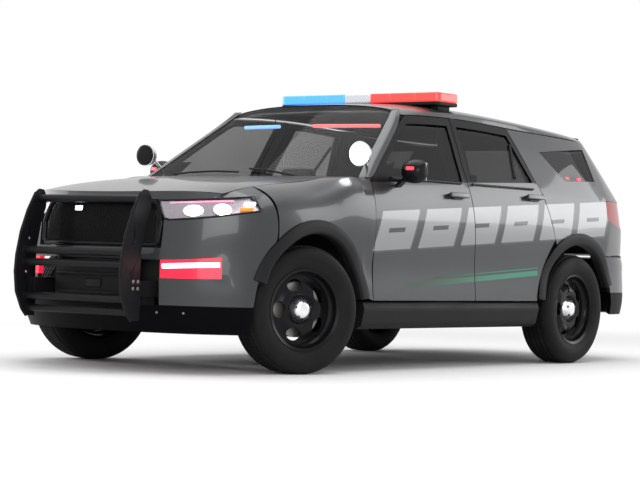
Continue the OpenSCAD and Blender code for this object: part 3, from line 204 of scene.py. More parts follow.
# ---- Finishes ----
paint = {"dark": (0.033, 0.035, 0.037), "light": (0.064, 0.067, 0.070), "black": (0.006, 0.006, 0.007)}
blocks = {"low": 0.742, "high": 0.985, "front": 0.97, "rear": -1.93, "count": 6, "gap": 0.16, "slant": 0.42,
          "climb": 0.058, "notch": (0.24, 0.60),
          "colour": (0.25, 0.255, 0.26), "edge": (0.075, 0.078, 0.082)}
stripe = {"low": 0.553, "high": 0.586, "front": 0.60, "rear": -0.97, "climb": 0.0625,
          "dark": (0.002, 0.030, 0.010), "light": (0.006, 0.20, 0.12)}


def paintFinish(name, side=False, frames=None, blackBelow=None):
    f = Finish(name, coat_roughness=0.05, specular_ior_level=0.35)
    x, y, z = f.place()
    flake = f.rise(f.noise(900, 1), 0.42, 0.62)
    cloud = f.rise(f.noise(1.3, 2), 0.3, 0.7)
    colour = f.mix(flake * 0.55 + cloud * 0.2, paint["dark"], paint["light"])
    metal = 0.66 + cloud * 0.06
    coat = 0.42 + cloud * 0.06
    rough = 0.30 + flake * 0.10
    if side:
        outward = f.rise(y * f.facing(1), 0.25, 0.4)
        level = z + (x - blocks["front"]) * blocks["climb"]
        along = x + (level - blocks["low"]) * blocks["slant"]
        pitch = (blocks["front"] - blocks["rear"]) / blocks["count"]
        share = f.maths("FRACT", (blocks["front"] - along) / pitch)
        tall = f.band(level, blocks["low"], blocks["high"])
        run = f.band(along, blocks["rear"], blocks["front"])
        middle = (blocks["low"] + blocks["high"]) / 2
        notch = f.band(level, middle - 0.014, middle + 0.014) * f.band(share, blocks["notch"][0], blocks["notch"][1], 0.01)
        slot = 1 - notch
        body = f.band(share, 0.012, 1 - blocks["gap"], 0.006) * slot
        solid = outward * tall * run * body
        rim = outward * f.band(level, blocks["low"] - 0.012, blocks["high"] - 0.012) * run \
            * f.band(share, 0.04, 1 - blocks["gap"] + 0.03, 0.004) * slot
        colour = f.mix(rim, colour, blocks["edge"])
        colour = f.mix(solid, colour, blocks["colour"])
        level = z + x * stripe["climb"]
        ribbon = outward * f.band(x, stripe["rear"], stripe["front"]) * f.band(level, stripe["low"], stripe["high"])
        fine = outward * f.band(x, stripe["rear"], stripe["front"] - 0.3) \
            * f.band(level, stripe["high"] + 0.014, stripe["high"] + 0.021, 0.001)
        green = f.mix(f.rise(x, stripe["rear"] + 0.3, stripe["front"] - 0.1), stripe["light"], stripe["dark"])
        colour = f.mix(f.maths("MAXIMUM", ribbon, fine), colour, green)
        metal = metal * (1 - solid * 0.6) * (1 - ribbon)
    if frames:
        low, lean = frames
        frame_ = f.rise(z + x * lean, low, low + 0.004)
        colour = f.mix(frame_, colour, paint["black"])
        metal = metal * (1 - frame_) + frame_
        rough = rough * (1 - frame_) + frame_ * 0.30
        coat = coat * (1 - frame_)
    if blackBelow:
        lower = 1 - f.rise(z, blackBelow - 0.002, blackBelow + 0.002)
        colour = f.mix(lower, colour, paint["black"])
        metal = metal * (1 - lower) + lower
        rough = rough * (1 - lower) + lower * 0.60
        coat = coat * (1 - lower)
    f.feed("Base Color", colour).feed("Metallic", metal).feed("Roughness", rough).feed("Coat Weight", coat)
    f.bump(f.noise(60, 2), 0.05, 0.0006)
    return f.material


def plasticFinish(name, colour, rough=0.5, grain=700, depth=0.0004, metallic=0.0):
    f = Finish(name, metallic=metallic, specular_ior_level=0.16)
    wear = f.rise(f.noise(3.5, 4), 0.35, 0.75)
    pits = f.noise(grain, 2)
    f.feed("Base Color", f.mix(wear * 0.5, colour, tuple(c * 1.5 + 0.004 for c in colour)))
    f.feed("Roughness", rough + wear * 0.10 + pits * 0.06)
    f.bump(pits, 0.35, depth)
    return f.material


def rubberFinish():
    f = Finish("tyreRubber", specular_ior_level=0.15)
    x, y, z = f.place()
    dust = f.rise(f.noise(9, 4), 0.4, 0.75)
    f.feed("Base Color", f.mix(dust * 0.6, (0.007, 0.007, 0.007), (0.018, 0.0175, 0.017)))
    f.feed("Roughness", 0.62 + dust * 0.2)
    f.bump(f.noise(420, 2), 0.3, 0.0005)
    return f.material


def metalFinish(name, colour, rough=0.25, brushed=60):
    f = Finish(name, metallic=1.0)
    grime = f.rise(f.noise(14, 4), 0.35, 0.8)
    f.feed("Base Color", f.mix(grime * 0.4, colour, tuple(c * 0.6 for c in colour)))
    f.feed("Roughness", rough + grime * 0.18)
    f.bump(f.noise(brushed, 3), 0.12, 0.0005)
    return f.material


def glassFinish(name, colour, alpha, rough=0.02):
    f = Finish(name, base_color=colour, roughness=rough, specular_ior_level=0.22)
    haze = f.rise(f.noise(2.4, 2), 0.3, 0.8)
    f.feed("Alpha", alpha + haze * 0.04)
    return f.material


def lensFinish(name, colour, glow, strength, ribs=0, alpha=1.0):
    f = Finish(name, roughness=0.22, coat_weight=0.25, coat_roughness=0.02, specular_ior_level=0.3, emission_strength=strength, alpha=alpha)
    x, y, z = f.place()
    cells = f.rise(f.noise(120, 1), 0.35, 0.65)
    if ribs:
        wave = f.maths("SINE", y * ribs) * f.maths("SINE", z * ribs)
        cells = f.rise(wave, -0.6, 0.6)
    f.feed("Base Color", f.mix(cells * 0.5, colour, tuple(min(1, c * 1.6 + 0.01) for c in colour)))
    f.feed("Emission Color", f.mix(cells * 0.45, glow, tuple(min(1, c * 1.25 + 0.03) for c in glow)))
    f.bump(cells, 0.25, 0.0008)
    return f.material


def fabricFinish(name, colour, second):
    f = Finish(name, sheen_weight=0.35, sheen_roughness=0.5)
    x, y, z = f.place()
    weave = f.maths("SINE", (x + z) * 2600) * f.maths("SINE", (y - z) * 2600)
    threads = f.rise(weave, -0.7, 0.7)
    rib = f.rise(f.maths("SINE", y * 210), -0.2, 0.5)
    f.feed("Base Color", f.mix(threads * 0.6 + f.noise(18, 3) * 0.3, colour, second))
    f.feed("Roughness", 0.78 + threads * 0.15)
    f.bump(threads * 0.4 + rib * 0.6, 0.4, 0.0014)
    return f.material


def makeFinishes():
    return {
        "paint": paintFinish("patrolPaint"),
        "side": paintFinish("sidePaint", side=True),
        "door": paintFinish("doorPaint", side=True, frames=(1.204, 0.0415)),
        "nose": paintFinish("nosePaint", blackBelow=0.395),
        "tail": paintFinish("tailPaint", blackBelow=0.50),
        "plastic": plasticFinish("blackPlastic", (0.008, 0.008, 0.009), 0.48),
        "gloss": plasticFinish("glossBlack", (0.005, 0.005, 0.006), 0.10, 300, 0.0001),
        "under": plasticFinish("underbody", (0.016, 0.016, 0.017), 0.72, 200, 0.0008),
        "powder": plasticFinish("powderCoat", (0.006, 0.006, 0.007), 0.36, 1200, 0.0003),
        "cabin": plasticFinish("cabinPlastic", (0.020, 0.020, 0.022), 0.55, 900, 0.0004),
        "clear": glassFinish("clearGlass", (0.012, 0.014, 0.015), 0.15),
        "tint": glassFinish("tintedGlass", (0.005, 0.006, 0.007), 0.56),
        "lens": glassFinish("lampLens", (0.55, 0.56, 0.58), 0.16, 0.03),
        "rubber": rubberFinish(),
        "wheel": plasticFinish("wheelSteel", (0.010, 0.010, 0.011), 0.16, 500, 0.0002, 0.5),
        "plate": plasticFinish("plateWhite", (0.55, 0.55, 0.54), 0.3, 900, 0.0001),
        "bright": metalFinish("brightMetal", (0.86, 0.87, 0.88), 0.20),
        "dark": metalFinish("darkMetal", (0.10, 0.10, 0.105), 0.45),
        "dull": metalFinish("dullSteel", (0.30, 0.29, 0.28), 0.42),
        "red": lensFinish("redLens", (0.20, 0.003, 0.006), (0.5, 0.004, 0.01), 0.16, 420),
        "redGlow": lensFinish("redGlow", (0.5, 0.004, 0.02), (1.0, 0.008, 0.05), 0.85, 300),
        "redLit": lensFinish("redLit", (0.5, 0.01, 0.02), (1.0, 0.03, 0.05), 3.0, 520),
        "pinkLit": lensFinish("pinkLit", (0.9, 0.6, 0.65), (1.0, 0.55, 0.62), 6.0),
        "reflector": metalFinish("lampReflector", (0.40, 0.35, 0.40), 0.25, 30),
        "pinkSoft": lensFinish("pinkSoft", (0.5, 0.2, 0.3), (0.8, 0.30, 0.42), 0.9),
        "visorBlue": lensFinish("visorBlue", (0.05, 0.2, 0.6), (0.25, 0.5, 1.0), 1.6),
        "visorRed": lensFinish("visorRed", (0.5, 0.05, 0.06), (1.0, 0.16, 0.16), 1.6),
        "blueLit": lensFinish("blueLit", (0.01, 0.10, 0.6), (0.02, 0.25, 1.0), 2.4, 260),
        "whiteLit": lensFinish("whiteLit", (0.9, 0.92, 1.0), (0.92, 0.94, 1.0), 9.0),
        "blueWhite": lensFinish("blueWhite", (0.7, 0.8, 1.0), (0.72, 0.80, 1.0), 7.0),
        "amber": lensFinish("amberLens", (0.7, 0.16, 0.01), (0.9, 0.25, 0.02), 0.9, 500),
        "beaconRed": lensFinish("beaconRed", (0.55, 0.02, 0.02), (1.0, 0.06, 0.05), 1.1, 240),
        "beaconBlue": lensFinish("beaconBlue", (0.03, 0.20, 0.75), (0.08, 0.35, 1.0), 1.1, 240),
        "beaconClear": lensFinish("beaconClear", (0.55, 0.57, 0.60), (0.5, 0.52, 0.58), 0.4, 240),
        "fabric": fabricFinish("seatFabric", (0.020, 0.020, 0.022), (0.052, 0.052, 0.056)),
        "screen": lensFinish("screenGlow", (0.01, 0.02, 0.03), (0.03, 0.08, 0.14), 0.6),
    }


# ---- Making and finishing pieces ----
def alone(piece):
    if bpy.context.object and bpy.context.object.mode != "OBJECT":
        bpy.ops.object.mode_set(mode="OBJECT")
    bpy.ops.object.select_all(action="DESELECT")
    piece.select_set(True)
    bpy.context.view_layer.objects.active = piece
    return piece


def pick(piece, faces=None, edges=None, points=None):  # selects by place and enters edit mode
    alone(piece)
    mesh = piece.data
    bpy.context.tool_settings.mesh_select_mode = (points is not None, edges is not None, faces is not None)
    for group in (mesh.vertices, mesh.edges, mesh.polygons):
        group.foreach_set("select", [False] * len(group))
    if faces:
        for face in mesh.polygons:
            face.select = bool(faces(face.center, face.normal))
    if points:
        for point in mesh.vertices:
            point.select = bool(points(point.co))
    if edges:
        for edge in mesh.edges:
            edge.select = bool(edges(*(mesh.vertices[k].co for k in edge.vertices)))
    bpy.ops.object.mode_set(mode="EDIT")
    return piece


def settle(piece):  # place goes into the mesh
    alone(piece)
    bpy.ops.object.transform_apply(location=True, rotation=True, scale=True)
    return piece


def modify(piece, kind, **settings):
    alone(piece)
    made = piece.modifiers.new(kind.lower(), kind)
    for key, value in settings.items():
        setattr(made, key, value)
    bpy.ops.object.modifier_apply(modifier=made.name)
    return piece


def smooth(piece, angle=35):
    alone(piece)
    bpy.ops.object.shade_smooth_by_angle(angle=math.radians(angle))
    return piece


def even(piece, angle=40):  # flat faces stay flat beside their rounded edges
    smooth(piece, angle)
    return modify(piece, "WEIGHTED_NORMAL", keep_sharp=True)


def give(piece, name, finish, body, *replaced):
    piece.name = name
    piece.data.materials.clear()
    piece.data.materials.append(finishes[finish])
    if replaced:
        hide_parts(*replaced)
    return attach(piece, body)


def block(low, high, edge=0.004, segments=2):
    middle = [(a + b) / 2 for a, b in zip(low, high)]
    bpy.ops.object.select_all(action="DESELECT")
    bpy.ops.mesh.primitive_cube_add(size=1, location=middle)
    piece = bpy.context.object
    piece.scale = [abs(b - a) for a, b in zip(low, high)]
    settle(piece)
    if edge:
        modify(piece, "BEVEL", width=edge, segments=segments, limit_method="ANGLE")
    return smooth(piece)


def tube(points, radius, rings=10, cyclic=False):
    line = bpy.data.curves.new("line", "CURVE")
    line.dimensions = "3D"
    spline = line.splines.new("POLY")
    spline.points.add(len(points) - 1)
    for point, place in zip(spline.points, points):
        point.co = (*place, 1)
    spline.use_cyclic_u = cyclic
    line.bevel_depth = radius
    line.bevel_resolution = max(1, rings // 4)
    line.use_fill_caps = True
    piece = bpy.data.objects.new("tube", line)
    bpy.context.scene.collection.objects.link(piece)
    alone(piece)
    bpy.ops.object.convert(target="MESH")
    return smooth(bpy.context.object, 50)


def lathe(profile, steps=64, full=360.0):  # profile of (radius, along y), turned about the y axis
    bpy.ops.object.select_all(action="DESELECT")
    bpy.ops.mesh.primitive_plane_add(size=0.01)
    piece = bpy.context.object
    bpy.context.tool_settings.mesh_select_mode = (True, False, False)
    bpy.ops.object.mode_set(mode="EDIT")
    bpy.ops.mesh.select_all(action="SELECT")
    bpy.ops.mesh.merge(type="CENTER")
    bpy.ops.mesh.select_all(action="SELECT")
    first = profile[0]
    bpy.ops.transform.translate(value=(first[0], first[1], 0))
    for before, after in zip(profile, profile[1:]):
        step = (after[0] - before[0], after[1] - before[1], 0)
        bpy.ops.mesh.extrude_region_move(TRANSFORM_OT_translate={"value": step})
    bpy.ops.mesh.select_all(action="SELECT")
    bpy.ops.mesh.spin(steps=steps, angle=math.radians(full), center=(0, 0, 0), axis=(0, 1, 0))
    bpy.ops.mesh.select_all(action="SELECT")
    bpy.ops.mesh.remove_doubles(threshold=0.00005)
    bpy.ops.mesh.normals_make_consistent(inside=False)
    bpy.ops.object.mode_set(mode="OBJECT")
    return smooth(piece, 30)


def put(piece, place, spin=0.0, tilt=None):
    piece.matrix_world = Matrix.Translation(place) @ (tilt or Matrix.Rotation(math.radians(spin), 4, "Z")) \
        @ piece.matrix_world
    return settle(piece)


def aim(piece, place, heading):  # turns a lathed piece's y axis to a heading
    turn = Vector(heading).to_track_quat("Y", "Z").to_matrix().to_4x4()
    return put(piece, place, tilt=turn)


def joined(pieces):
    alone(pieces[0])
    for piece in pieces:
        piece.select_set(True)
    if len(pieces) > 1:
        bpy.ops.object.join()
    return bpy.context.object


def again(piece, shift=(0, 0, 0), mirror=False):  # a copy with its own mesh, moved or mirrored over the middle
    twin = piece.copy()
    twin.data = piece.data.copy()
    bpy.context.scene.collection.objects.link(twin)
    if mirror:
        alone(twin)
        twin.scale = (1, -1, 1)
        settle(twin)
        pick(twin, faces=lambda c, n: True)
        bpy.ops.mesh.normals_make_consistent(inside=False)
        bpy.ops.object.mode_set(mode="OBJECT")
    twin.location = shift
    return settle(twin)


trees = {}


def touch(node, start, heading):  # where a line meets a CAD node
    if node not in trees:
        spots = [nodes[node].matrix_world @ point.co for point in nodes[node].data.vertices]
        trees[node] = BVHTree.FromPolygons(spots, [list(face.vertices) for face in nodes[node].data.polygons])
    return trees[node].ray_cast(Vector(start), Vector(heading).normalized())[:2]


def solids(node):  # a node's mesh as merged copies, one for each solid
    piece = bpy.data.objects.new(node + "_copy", nodes[node].data.copy())
    bpy.context.scene.collection.objects.link(piece)
    alone(piece)
    bpy.ops.object.mode_set(mode="EDIT")
    bpy.ops.mesh.select_all(action="SELECT")
    bpy.ops.mesh.remove_doubles(threshold=0.00005)
    bpy.ops.mesh.separate(type="LOOSE")
    bpy.ops.object.mode_set(mode="OBJECT")
    return list(bpy.context.selected_objects)


def panel(piece, crease=38, levels=2):  # a faceted skin made smooth
    alone(piece)
    bpy.context.tool_settings.mesh_select_mode = (False, True, False)
    bpy.ops.object.mode_set(mode="EDIT")
    bpy.ops.mesh.select_all(action="SELECT")
    bpy.ops.mesh.normals_make_consistent(inside=False)
    bpy.ops.mesh.tris_convert_to_quads(face_threshold=math.radians(50), shape_threshold=math.radians(70))
    bpy.ops.mesh.select_all(action="DESELECT")
    bpy.ops.mesh.edges_select_sharp(sharpness=math.radians(crease))
    bpy.ops.transform.edge_crease(value=1)
    bpy.ops.object.mode_set(mode="OBJECT")
    if levels:
        modify(piece, "SUBSURF", levels=levels, render_levels=levels)
    return smooth(piece, 32)


def middleOf(piece):
    return sum((v.co for v in piece.data.vertices), Vector()) / len(piece.data.vertices)


def bodyOf(node):
    return next(name for name, held in frame["record"]["behaviour"]["bodies"].items() if node in held)


def dress(node, finish):
    for slot in nodes[node].material_slots:
        slot.material = finishes[finish]


makeCamera()
makeLight()
makeFloor()
finishes = makeFinishes()
print("studio and finishes ready")

# ---- Painted panels ----
skins = {"hood": "paint", "roof": "paint", "front_fenders": "side", "front_door_left": "door", "front_door_right": "door",
         "rear_door_left": "door", "rear_door_right": "door", "body_sides": "side", "tailgate": "tail",
         "rear_bumper": "tail", "front_bumper": "nose"}
for node, finish in skins.items():
    parts = [panel(part) for part in solids(node)]
    give(joined(parts), node + "_skin", finish, bodyOf(node), node)
print("painted panels smoothed")

# ---- Small helpers for pieces that sit on the CAD ----
def skim(node, starts, heading, lift=0.0):  # places on a CAD node's face, lifted off it
    found = [touch(node, start, heading) for start in starts]
    return [place + normal * lift for place, normal in found if place]


def steps(first, last, count):
    return [first + (last - first) * k / (count - 1) for k in range(count)]


def dome(radius, rise, skirt, rings=5):  # half section of a lens or bolt head
    curve = [(radius * math.sin(a), skirt + rise * math.cos(a)) for a in steps(0, math.pi / 2, rings)]
    return [(0.0, skirt + rise)] + curve[1:] + [(radius, 0.0), (0.0, 0.0)]


def bolt(place, heading, radius=0.008, rise=0.006, corners=6):
    bpy.ops.object.select_all(action="DESELECT")
    bpy.ops.mesh.primitive_cylinder_add(vertices=corners, radius=radius, depth=rise * 2, rotation=(math.pi / 2, 0, 0))
    piece = settle(bpy.context.object)
    modify(piece, "BEVEL", width=rise * 0.3, segments=2, limit_method="ANGLE")
    return aim(smooth(piece), place, heading)


# ---- Wheels ----
wheels = {  # centre and turn about the upright
    "front_left": ((1.551676, 0.846829, 0.3816), -18.0), "front_right": ((1.505324, -0.846829, 0.3816), 162.0),
    "rear_left": ((-1.4965, 0.8505, 0.3816), 0.0), "rear_right": ((-1.4965, -0.8505, 0.3816), 180.0)}
tyre = {"steps": 90, "lift": 0.006, "gap": 0.0016, "tread": 0.3735, "shoulder": 0.086, "half": [  # radius, offset
    (0.3756, 0.0100), (0.3690, 0.0125), (0.3690, 0.0195), (0.3756, 0.0220), (0.3752, 0.0490), (0.3690, 0.0515),
    (0.3690, 0.0575), (0.3748, 0.0600), (0.3742, 0.0840), (0.3722, 0.0940), (0.3690, 0.1035), (0.3626, 0.1120),
    (0.3516, 0.1195), (0.3360, 0.1245), (0.3200, 0.1273), (0.3080, 0.1273), (0.3065, 0.1262), (0.2960, 0.1256),
    (0.2776, 0.1215), (0.2620, 0.1135), (0.2490, 0.1070), (0.2340, 0.0950), (0.2314, 0.0750), (0.2500, 0.0690),
    (0.3216, 0.1115), (0.3636, 0.0875)]}
cap = {"nuts": 5, "circle": 0.051, "out": 0.083, "profile": [(0.0, 0.0978), (0.018, 0.0972), (0.034, 0.0945), (0.046, 0.088),
    (0.054, 0.079), (0.060, 0.068), (0.066, 0.058), (0.0695, 0.052), (0.0695, 0.0456), (0.0, 0.0456)]}
opening = {"count": 5, "circle": 0.151, "deep": 0.037, "wide": 0.050}
disc = {"radius": 0.165, "inner": 0.070, "out": 0.012, "in": -0.010}

whole = tyre["half"] + [(radius, -offset) for radius, offset in reversed(tyre["half"])]
model = lathe(whole + whole[:1], tyre["steps"])
pick(model, faces=lambda c, n: math.hypot(c.x, c.z) > tyre["tread"] and abs(c.y) < tyre["shoulder"]
    and math.hypot(n.x, n.z) > 0.9)
bpy.ops.mesh.inset(thickness=tyre["gap"], depth=tyre["lift"], use_individual=True)
smooth(model, 28)
pattern = sorted(solids("rim_rear_left"), key=lambda part: max(part.dimensions))
for part in pattern[:-1]:
    bpy.data.objects.remove(part)
steel = put(pattern[-1], [-value for value in wheels["rear_left"][0]])
cutters = []
for k in range(opening["count"]):
    bpy.ops.object.select_all(action="DESELECT")
    bpy.ops.mesh.primitive_cylinder_add(vertices=48, radius=1, depth=0.12, rotation=(math.pi / 2, 0, 0))
    cutter = settle(bpy.context.object)
    cutter.scale = (opening["deep"], 1, opening["wide"])
    settle(cutter)
    put(cutter, (opening["circle"], 0.055, 0))
    cutters.append(put(cutter, (0, 0, 0), tilt=Matrix.Rotation(math.radians(k * 360 / opening["count"]), 4, "Y")))
cutter = joined(cutters)
modify(steel, "BOOLEAN", operation="DIFFERENCE", object=cutter, solver="EXACT")
bpy.data.objects.remove(cutter)
modify(steel, "BEVEL", width=0.0022, segments=2, limit_method="ANGLE", angle_limit=math.radians(40))
even(steel)
for name, (centre, turn) in wheels.items():
    body = "wheel_" + name
    give(put(again(model), centre, turn), "tyre_" + name + "_rubber", "rubber", body, "tyre_" + name)
    give(put(again(steel), centre, turn), "rim_" + name + "_steel", "wheel", body, "rim_" + name)
    give(put(lathe(cap["profile"], 48), centre, turn), "hub_cap_" + name, "bright", body)
    nuts = []
    for k in range(cap["nuts"]):
        angle = math.radians(k * 360 / cap["nuts"] + 18)
        place = (cap["circle"] * math.cos(angle), cap["out"], cap["circle"] * math.sin(angle))
        nuts.append(bolt(place, (0.6 * math.cos(angle), 1, 0.6 * math.sin(angle)), 0.0092, 0.0065))
    give(put(joined(nuts), centre, turn), "nuts_" + name, "dark", body)
    ring = lathe([(disc["inner"], disc["out"]), (disc["radius"], disc["out"]), (disc["radius"], disc["in"]),
        (disc["inner"], disc["in"]), (disc["inner"], disc["out"])], 64)
    holder = "knuckle_" + name[6:] if name.startswith("front") else "body"
    give(put(ring, centre, turn), "brake_disc_" + name, "dull", holder)
bpy.data.objects.remove(model)
bpy.data.objects.remove(steel)
print("wheels done")

# ---- Flares, glass, cowl and wipers ----
parts = [panel(part, 30, 2) for part in solids("wheel_arch_flares")]
give(joined(parts), "flares_smooth", "plastic", "body", "wheel_arch_flares")
for node, finish in {"quarter_glass": "tint", "front_glass_left": "tint", "front_glass_right": "tint",
        "rear_glass_left": "tint", "rear_glass_right": "tint", "tailgate_glass": "tint"}.items():
    parts = [panel(part, 38, 2) for part in solids(node)]
    give(joined(parts), node + "_smooth", finish, bodyOf(node), node)
screen, cowl = sorted(solids("windshield"), key=lambda part: -part.dimensions.z)
give(panel(screen, 38, 2), "windscreen_smooth", "clear", "body", "windshield")
give(smooth(modify(cowl, "BEVEL", width=0.003, segments=2, limit_method="ANGLE")), "cowl_cover", "plastic", "body")
wiper = {"arms": [((1.115, 0.62), (1.075, 0.08)), ((1.115, 0.02), (1.065, -0.56))], "lift": 0.012, "thick": 0.006}
for k, (first, last) in enumerate(wiper["arms"]):
    line = [(x, y, 2.4) for x, y in zip(steps(first[0], last[0], 9), steps(first[1], last[1], 9))]
    blade = tube(skim("windshield", line, (0, 0, -1), wiper["lift"]), wiper["thick"])
    give(blade, "wiper_blade_" + str(k), "plastic", "body")

# Belt mouldings, window bars and handles, door by door
belt = {"front": (0.72, -0.15), "rear": (-0.20, -0.96), "z": 1.201, "radius": 0.007}
bar = {"foot": (-0.765, 1.222), "head": (-0.905, 1.545), "radius": 0.011}
handle = {"front": (0.02, 1.118), "rear": (-0.93, 1.142), "half": 0.105}
for side, way in sides.items():
    for end in ("front", "rear"):
        node = end + "_door_" + side
        line = [(x, way * 2, belt["z"]) for x in steps(*belt[end], 12)]
        give(tube(skim(node, line, (0, -way, 0), 0.006), belt["radius"]), "belt_" + node, "gloss", node)
        x, z = handle[end]
        place, normal = touch(node, (x, way * 2, z), (0, -way, 0))
        grip = block((-handle["half"], 0.020, -0.017), (handle["half"], 0.034, 0.017), 0.0065, 4)
        feet = [block((s * 0.078 - 0.020, -0.002, -0.013), (s * 0.078 + 0.020, 0.022, 0.013), 0.004) for s in (-1, 1)]
        give(aim(joined([grip] + feet), place, normal), "handle_" + node, "paint", node)
        cup = block((-0.060, -0.001, -0.024), (0.060, 0.0035, 0.020), 0.003)
        give(aim(cup, place, normal), "handle_cup_" + node, "gloss", node)
    node = "rear_glass_" + side
    line = [(x, way * 2, z) for x, z in zip(steps(bar["foot"][0], bar["head"][0], 8), steps(bar["foot"][1], bar["head"][1], 8))]
    give(tube(skim(node, line, (0, -way, 0), 0.005), bar["radius"]), "window_bar_" + side, "gloss", "rear_door_" + side)
print("glass and doors done")

# ---- Grille and nose ----
upper, lower = sorted(solids("grille"), key=lambda part: -middleOf(part).z)
give(panel(upper, 38, 1), "grille_back", "gloss", "body", "grille")
give(panel(lower, 38, 1), "intake_back", "plastic", "body")
mesh = {"cells": 62, "size": 1.02, "flat": 0.50, "wide": 0.425, "low": 0.752, "high": 0.972, "wire": 0.0042, "lift": 0.004}
bpy.ops.object.select_all(action="DESELECT")
bpy.ops.mesh.primitive_grid_add(x_subdivisions=mesh["cells"], y_subdivisions=mesh["cells"], size=mesh["size"])
net = bpy.context.object
net.rotation_euler = (0, 0, math.radians(45))
settle(net)
net.scale = (1, mesh["flat"], 1)
settle(net)
net.matrix_world = Matrix.Translation((2.6, 0, (mesh["low"] + mesh["high"]) / 2)) @ Matrix(((0, 0, 1, 0), (1, 0, 0, 0),
    (0, 1, 0, 0), (0, 0, 0, 1)))
settle(net)
cuts = [((0, mesh["wide"], 0), (0, 1, 0)), ((0, -mesh["wide"], 0), (0, -1, 0)), ((0, 0, mesh["high"]), (0, 0, 1)),
    ((0, 0, mesh["low"]), (0, 0, -1)), ((0, 0.425, 0.90), (0, 0.85, 0.52)), ((0, -0.425, 0.90), (0, -0.85, 0.52))]
for place, way in cuts:
    pick(net, faces=lambda c, n: True)
    bpy.ops.mesh.bisect(plane_co=place, plane_no=way, clear_outer=True)
    bpy.ops.object.mode_set(mode="OBJECT")
modify(net, "SHRINKWRAP", target=upper, wrap_method="PROJECT", use_project_x=True, use_project_y=False,
    use_project_z=False, use_negative_direction=True, use_positive_direction=False, offset=mesh["lift"])
modify(net, "WIREFRAME", thickness=mesh["wire"], use_even_offset=False)
give(net, "grille_mesh", "plastic", "body")
surround = {"path": [(-0.405, 0.988), (0.405, 0.988), (0.435, 0.955), (0.466, 0.865), (0.458, 0.760), (0.430, 0.738),
    (-0.430, 0.738), (-0.458, 0.760), (-0.466, 0.865), (-0.435, 0.955)], "radius": 0.013}
corners = surround["path"] + surround["path"][:1]
path = [(4, y, z) for a, b in zip(corners, corners[1:]) for y, z in zip(steps(a[0], b[0], 9)[:-1], steps(a[1], b[1], 9)[:-1])]
give(tube(skim("grille", path, (-1, 0, 0), 0.002), surround["radius"], 16, True), "grille_surround", "gloss", "body")
lamp = {"y": -0.153, "z": 0.945, "wide": 0.030, "tall": 0.013}
place, normal = touch("grille", (4, lamp["y"], lamp["z"]), (-1, 0, 0))
light = block((-lamp["wide"], 0.0, -lamp["tall"]), (lamp["wide"], 0.013, lamp["tall"]), 0.005, 3)
give(aim(light, place, normal), "grille_lamp", "blueWhite", "body")
housing = block((-0.040, -0.002, -0.021), (0.040, 0.008, 0.021), 0.004, 2)
give(aim(housing, place, normal), "grille_lamp_housing", "plastic", "body")

intake = {"slats": (0.452, 0.560), "trim": 0.648, "reach": 0.310}
for k, z in enumerate(intake["slats"]):
    line = [(4, y, z) for y in steps(-intake["reach"], intake["reach"], 15)]
    give(tube(skim("grille", line, (-1, 0, 0), 0.003), 0.010), "intake_slat_" + str(k), "plastic", "body")
line = [(4, y, intake["trim"]) for y in steps(-intake["reach"], intake["reach"], 15)]
give(tube(skim("grille", line, (-1, 0, 0), 0.003), 0.009), "intake_trim", "gloss", "body")
sensor = block((2.388, -0.062, 0.482), (2.404, 0.062, 0.532), 0.004, 3)
give(sensor, "front_sensor", "gloss", "body")
# painted shade: a black strip stands in for the shaded recess of the bumper slot; the ribs across it are real
slotShadeLine = [(4, y, 0.676) for y in steps(-0.32, 0.32, 17)]
give(tube(skim("front_bumper", slotShadeLine, (-1, 0, 0), -0.001), 0.007), "bumper_slot_shade_strip", "plastic", "body")
ribs = [block((2.36, y - 0.003, 0.668), (touch("front_bumper", (4, y, 0.676), (-1, 0, 0))[0].x + 0.008, y + 0.003, 0.684), 0.001, 1)
    for y in steps(-0.30, 0.30, 13)]
give(joined(ribs), "slot_ribs", "powder", "body")
for side, way in sides.items():
    bracket = block((2.352, way * 0.262 - 0.012, 0.640), (2.414, way * 0.262 + 0.012, 0.716), 0.004, 2)
    give(bracket, "nose_bracket_" + side, "powder", "body")
skirt = {"z": 0.352, "y": (-0.62, 0.62), "count": 9, "radius": 0.008}
places = [touch("front_bumper", (4, y, skirt["z"]), (-1, 0, 0)) for y in steps(*skirt["y"], skirt["count"])]
give(joined([bolt(place, normal, skirt["radius"], 0.004) for place, normal in places]), "skirt_bolts", "dull", "body")
print("grille and nose done")

# ---- Headlamps and corner lamps ----
lamps = {"units": [((0.85, 0.41, 0.33), (2.262, 0.640, 0.943), (1.72, 1.0)), ((0.66, 0.58, 0.45), (2.160, 0.775, 0.950), (1.50, 1.12))],
    "radius": 0.032, "sink": -0.009, "outline": [(0.438, 0.998), (0.480, 0.999), (0.600, 1.003), (0.720, 1.013), (0.800, 1.022),
    (0.845, 1.030), (0.872, 1.003), (0.911, 0.960), (0.910, 0.949), (0.880, 0.937), (0.780, 0.913), (0.660, 0.897),
    (0.520, 0.885), (0.484, 0.895), (0.442, 0.952)]}
for solid in solids("headlamps"):
    middle = middleOf(solid)
    side = "left" if middle.y > 0 else "right"
    high = middle.z > 0.8
    kind = "headlamp" if high else "corner_lamp"
    shell_ = panel(solid, 38, 2)
    inner = modify(again(shell_), "DISPLACE", strength=lamps["sink"], mid_level=0.0)
    give(inner, kind + "_back_" + side, "reflector" if high else "redLit", "body")
    give(shell_, kind + "_lens_" + side, "lens" if high else "redGlow", "body", *(["headlamps"] if high and side == "left" else []))


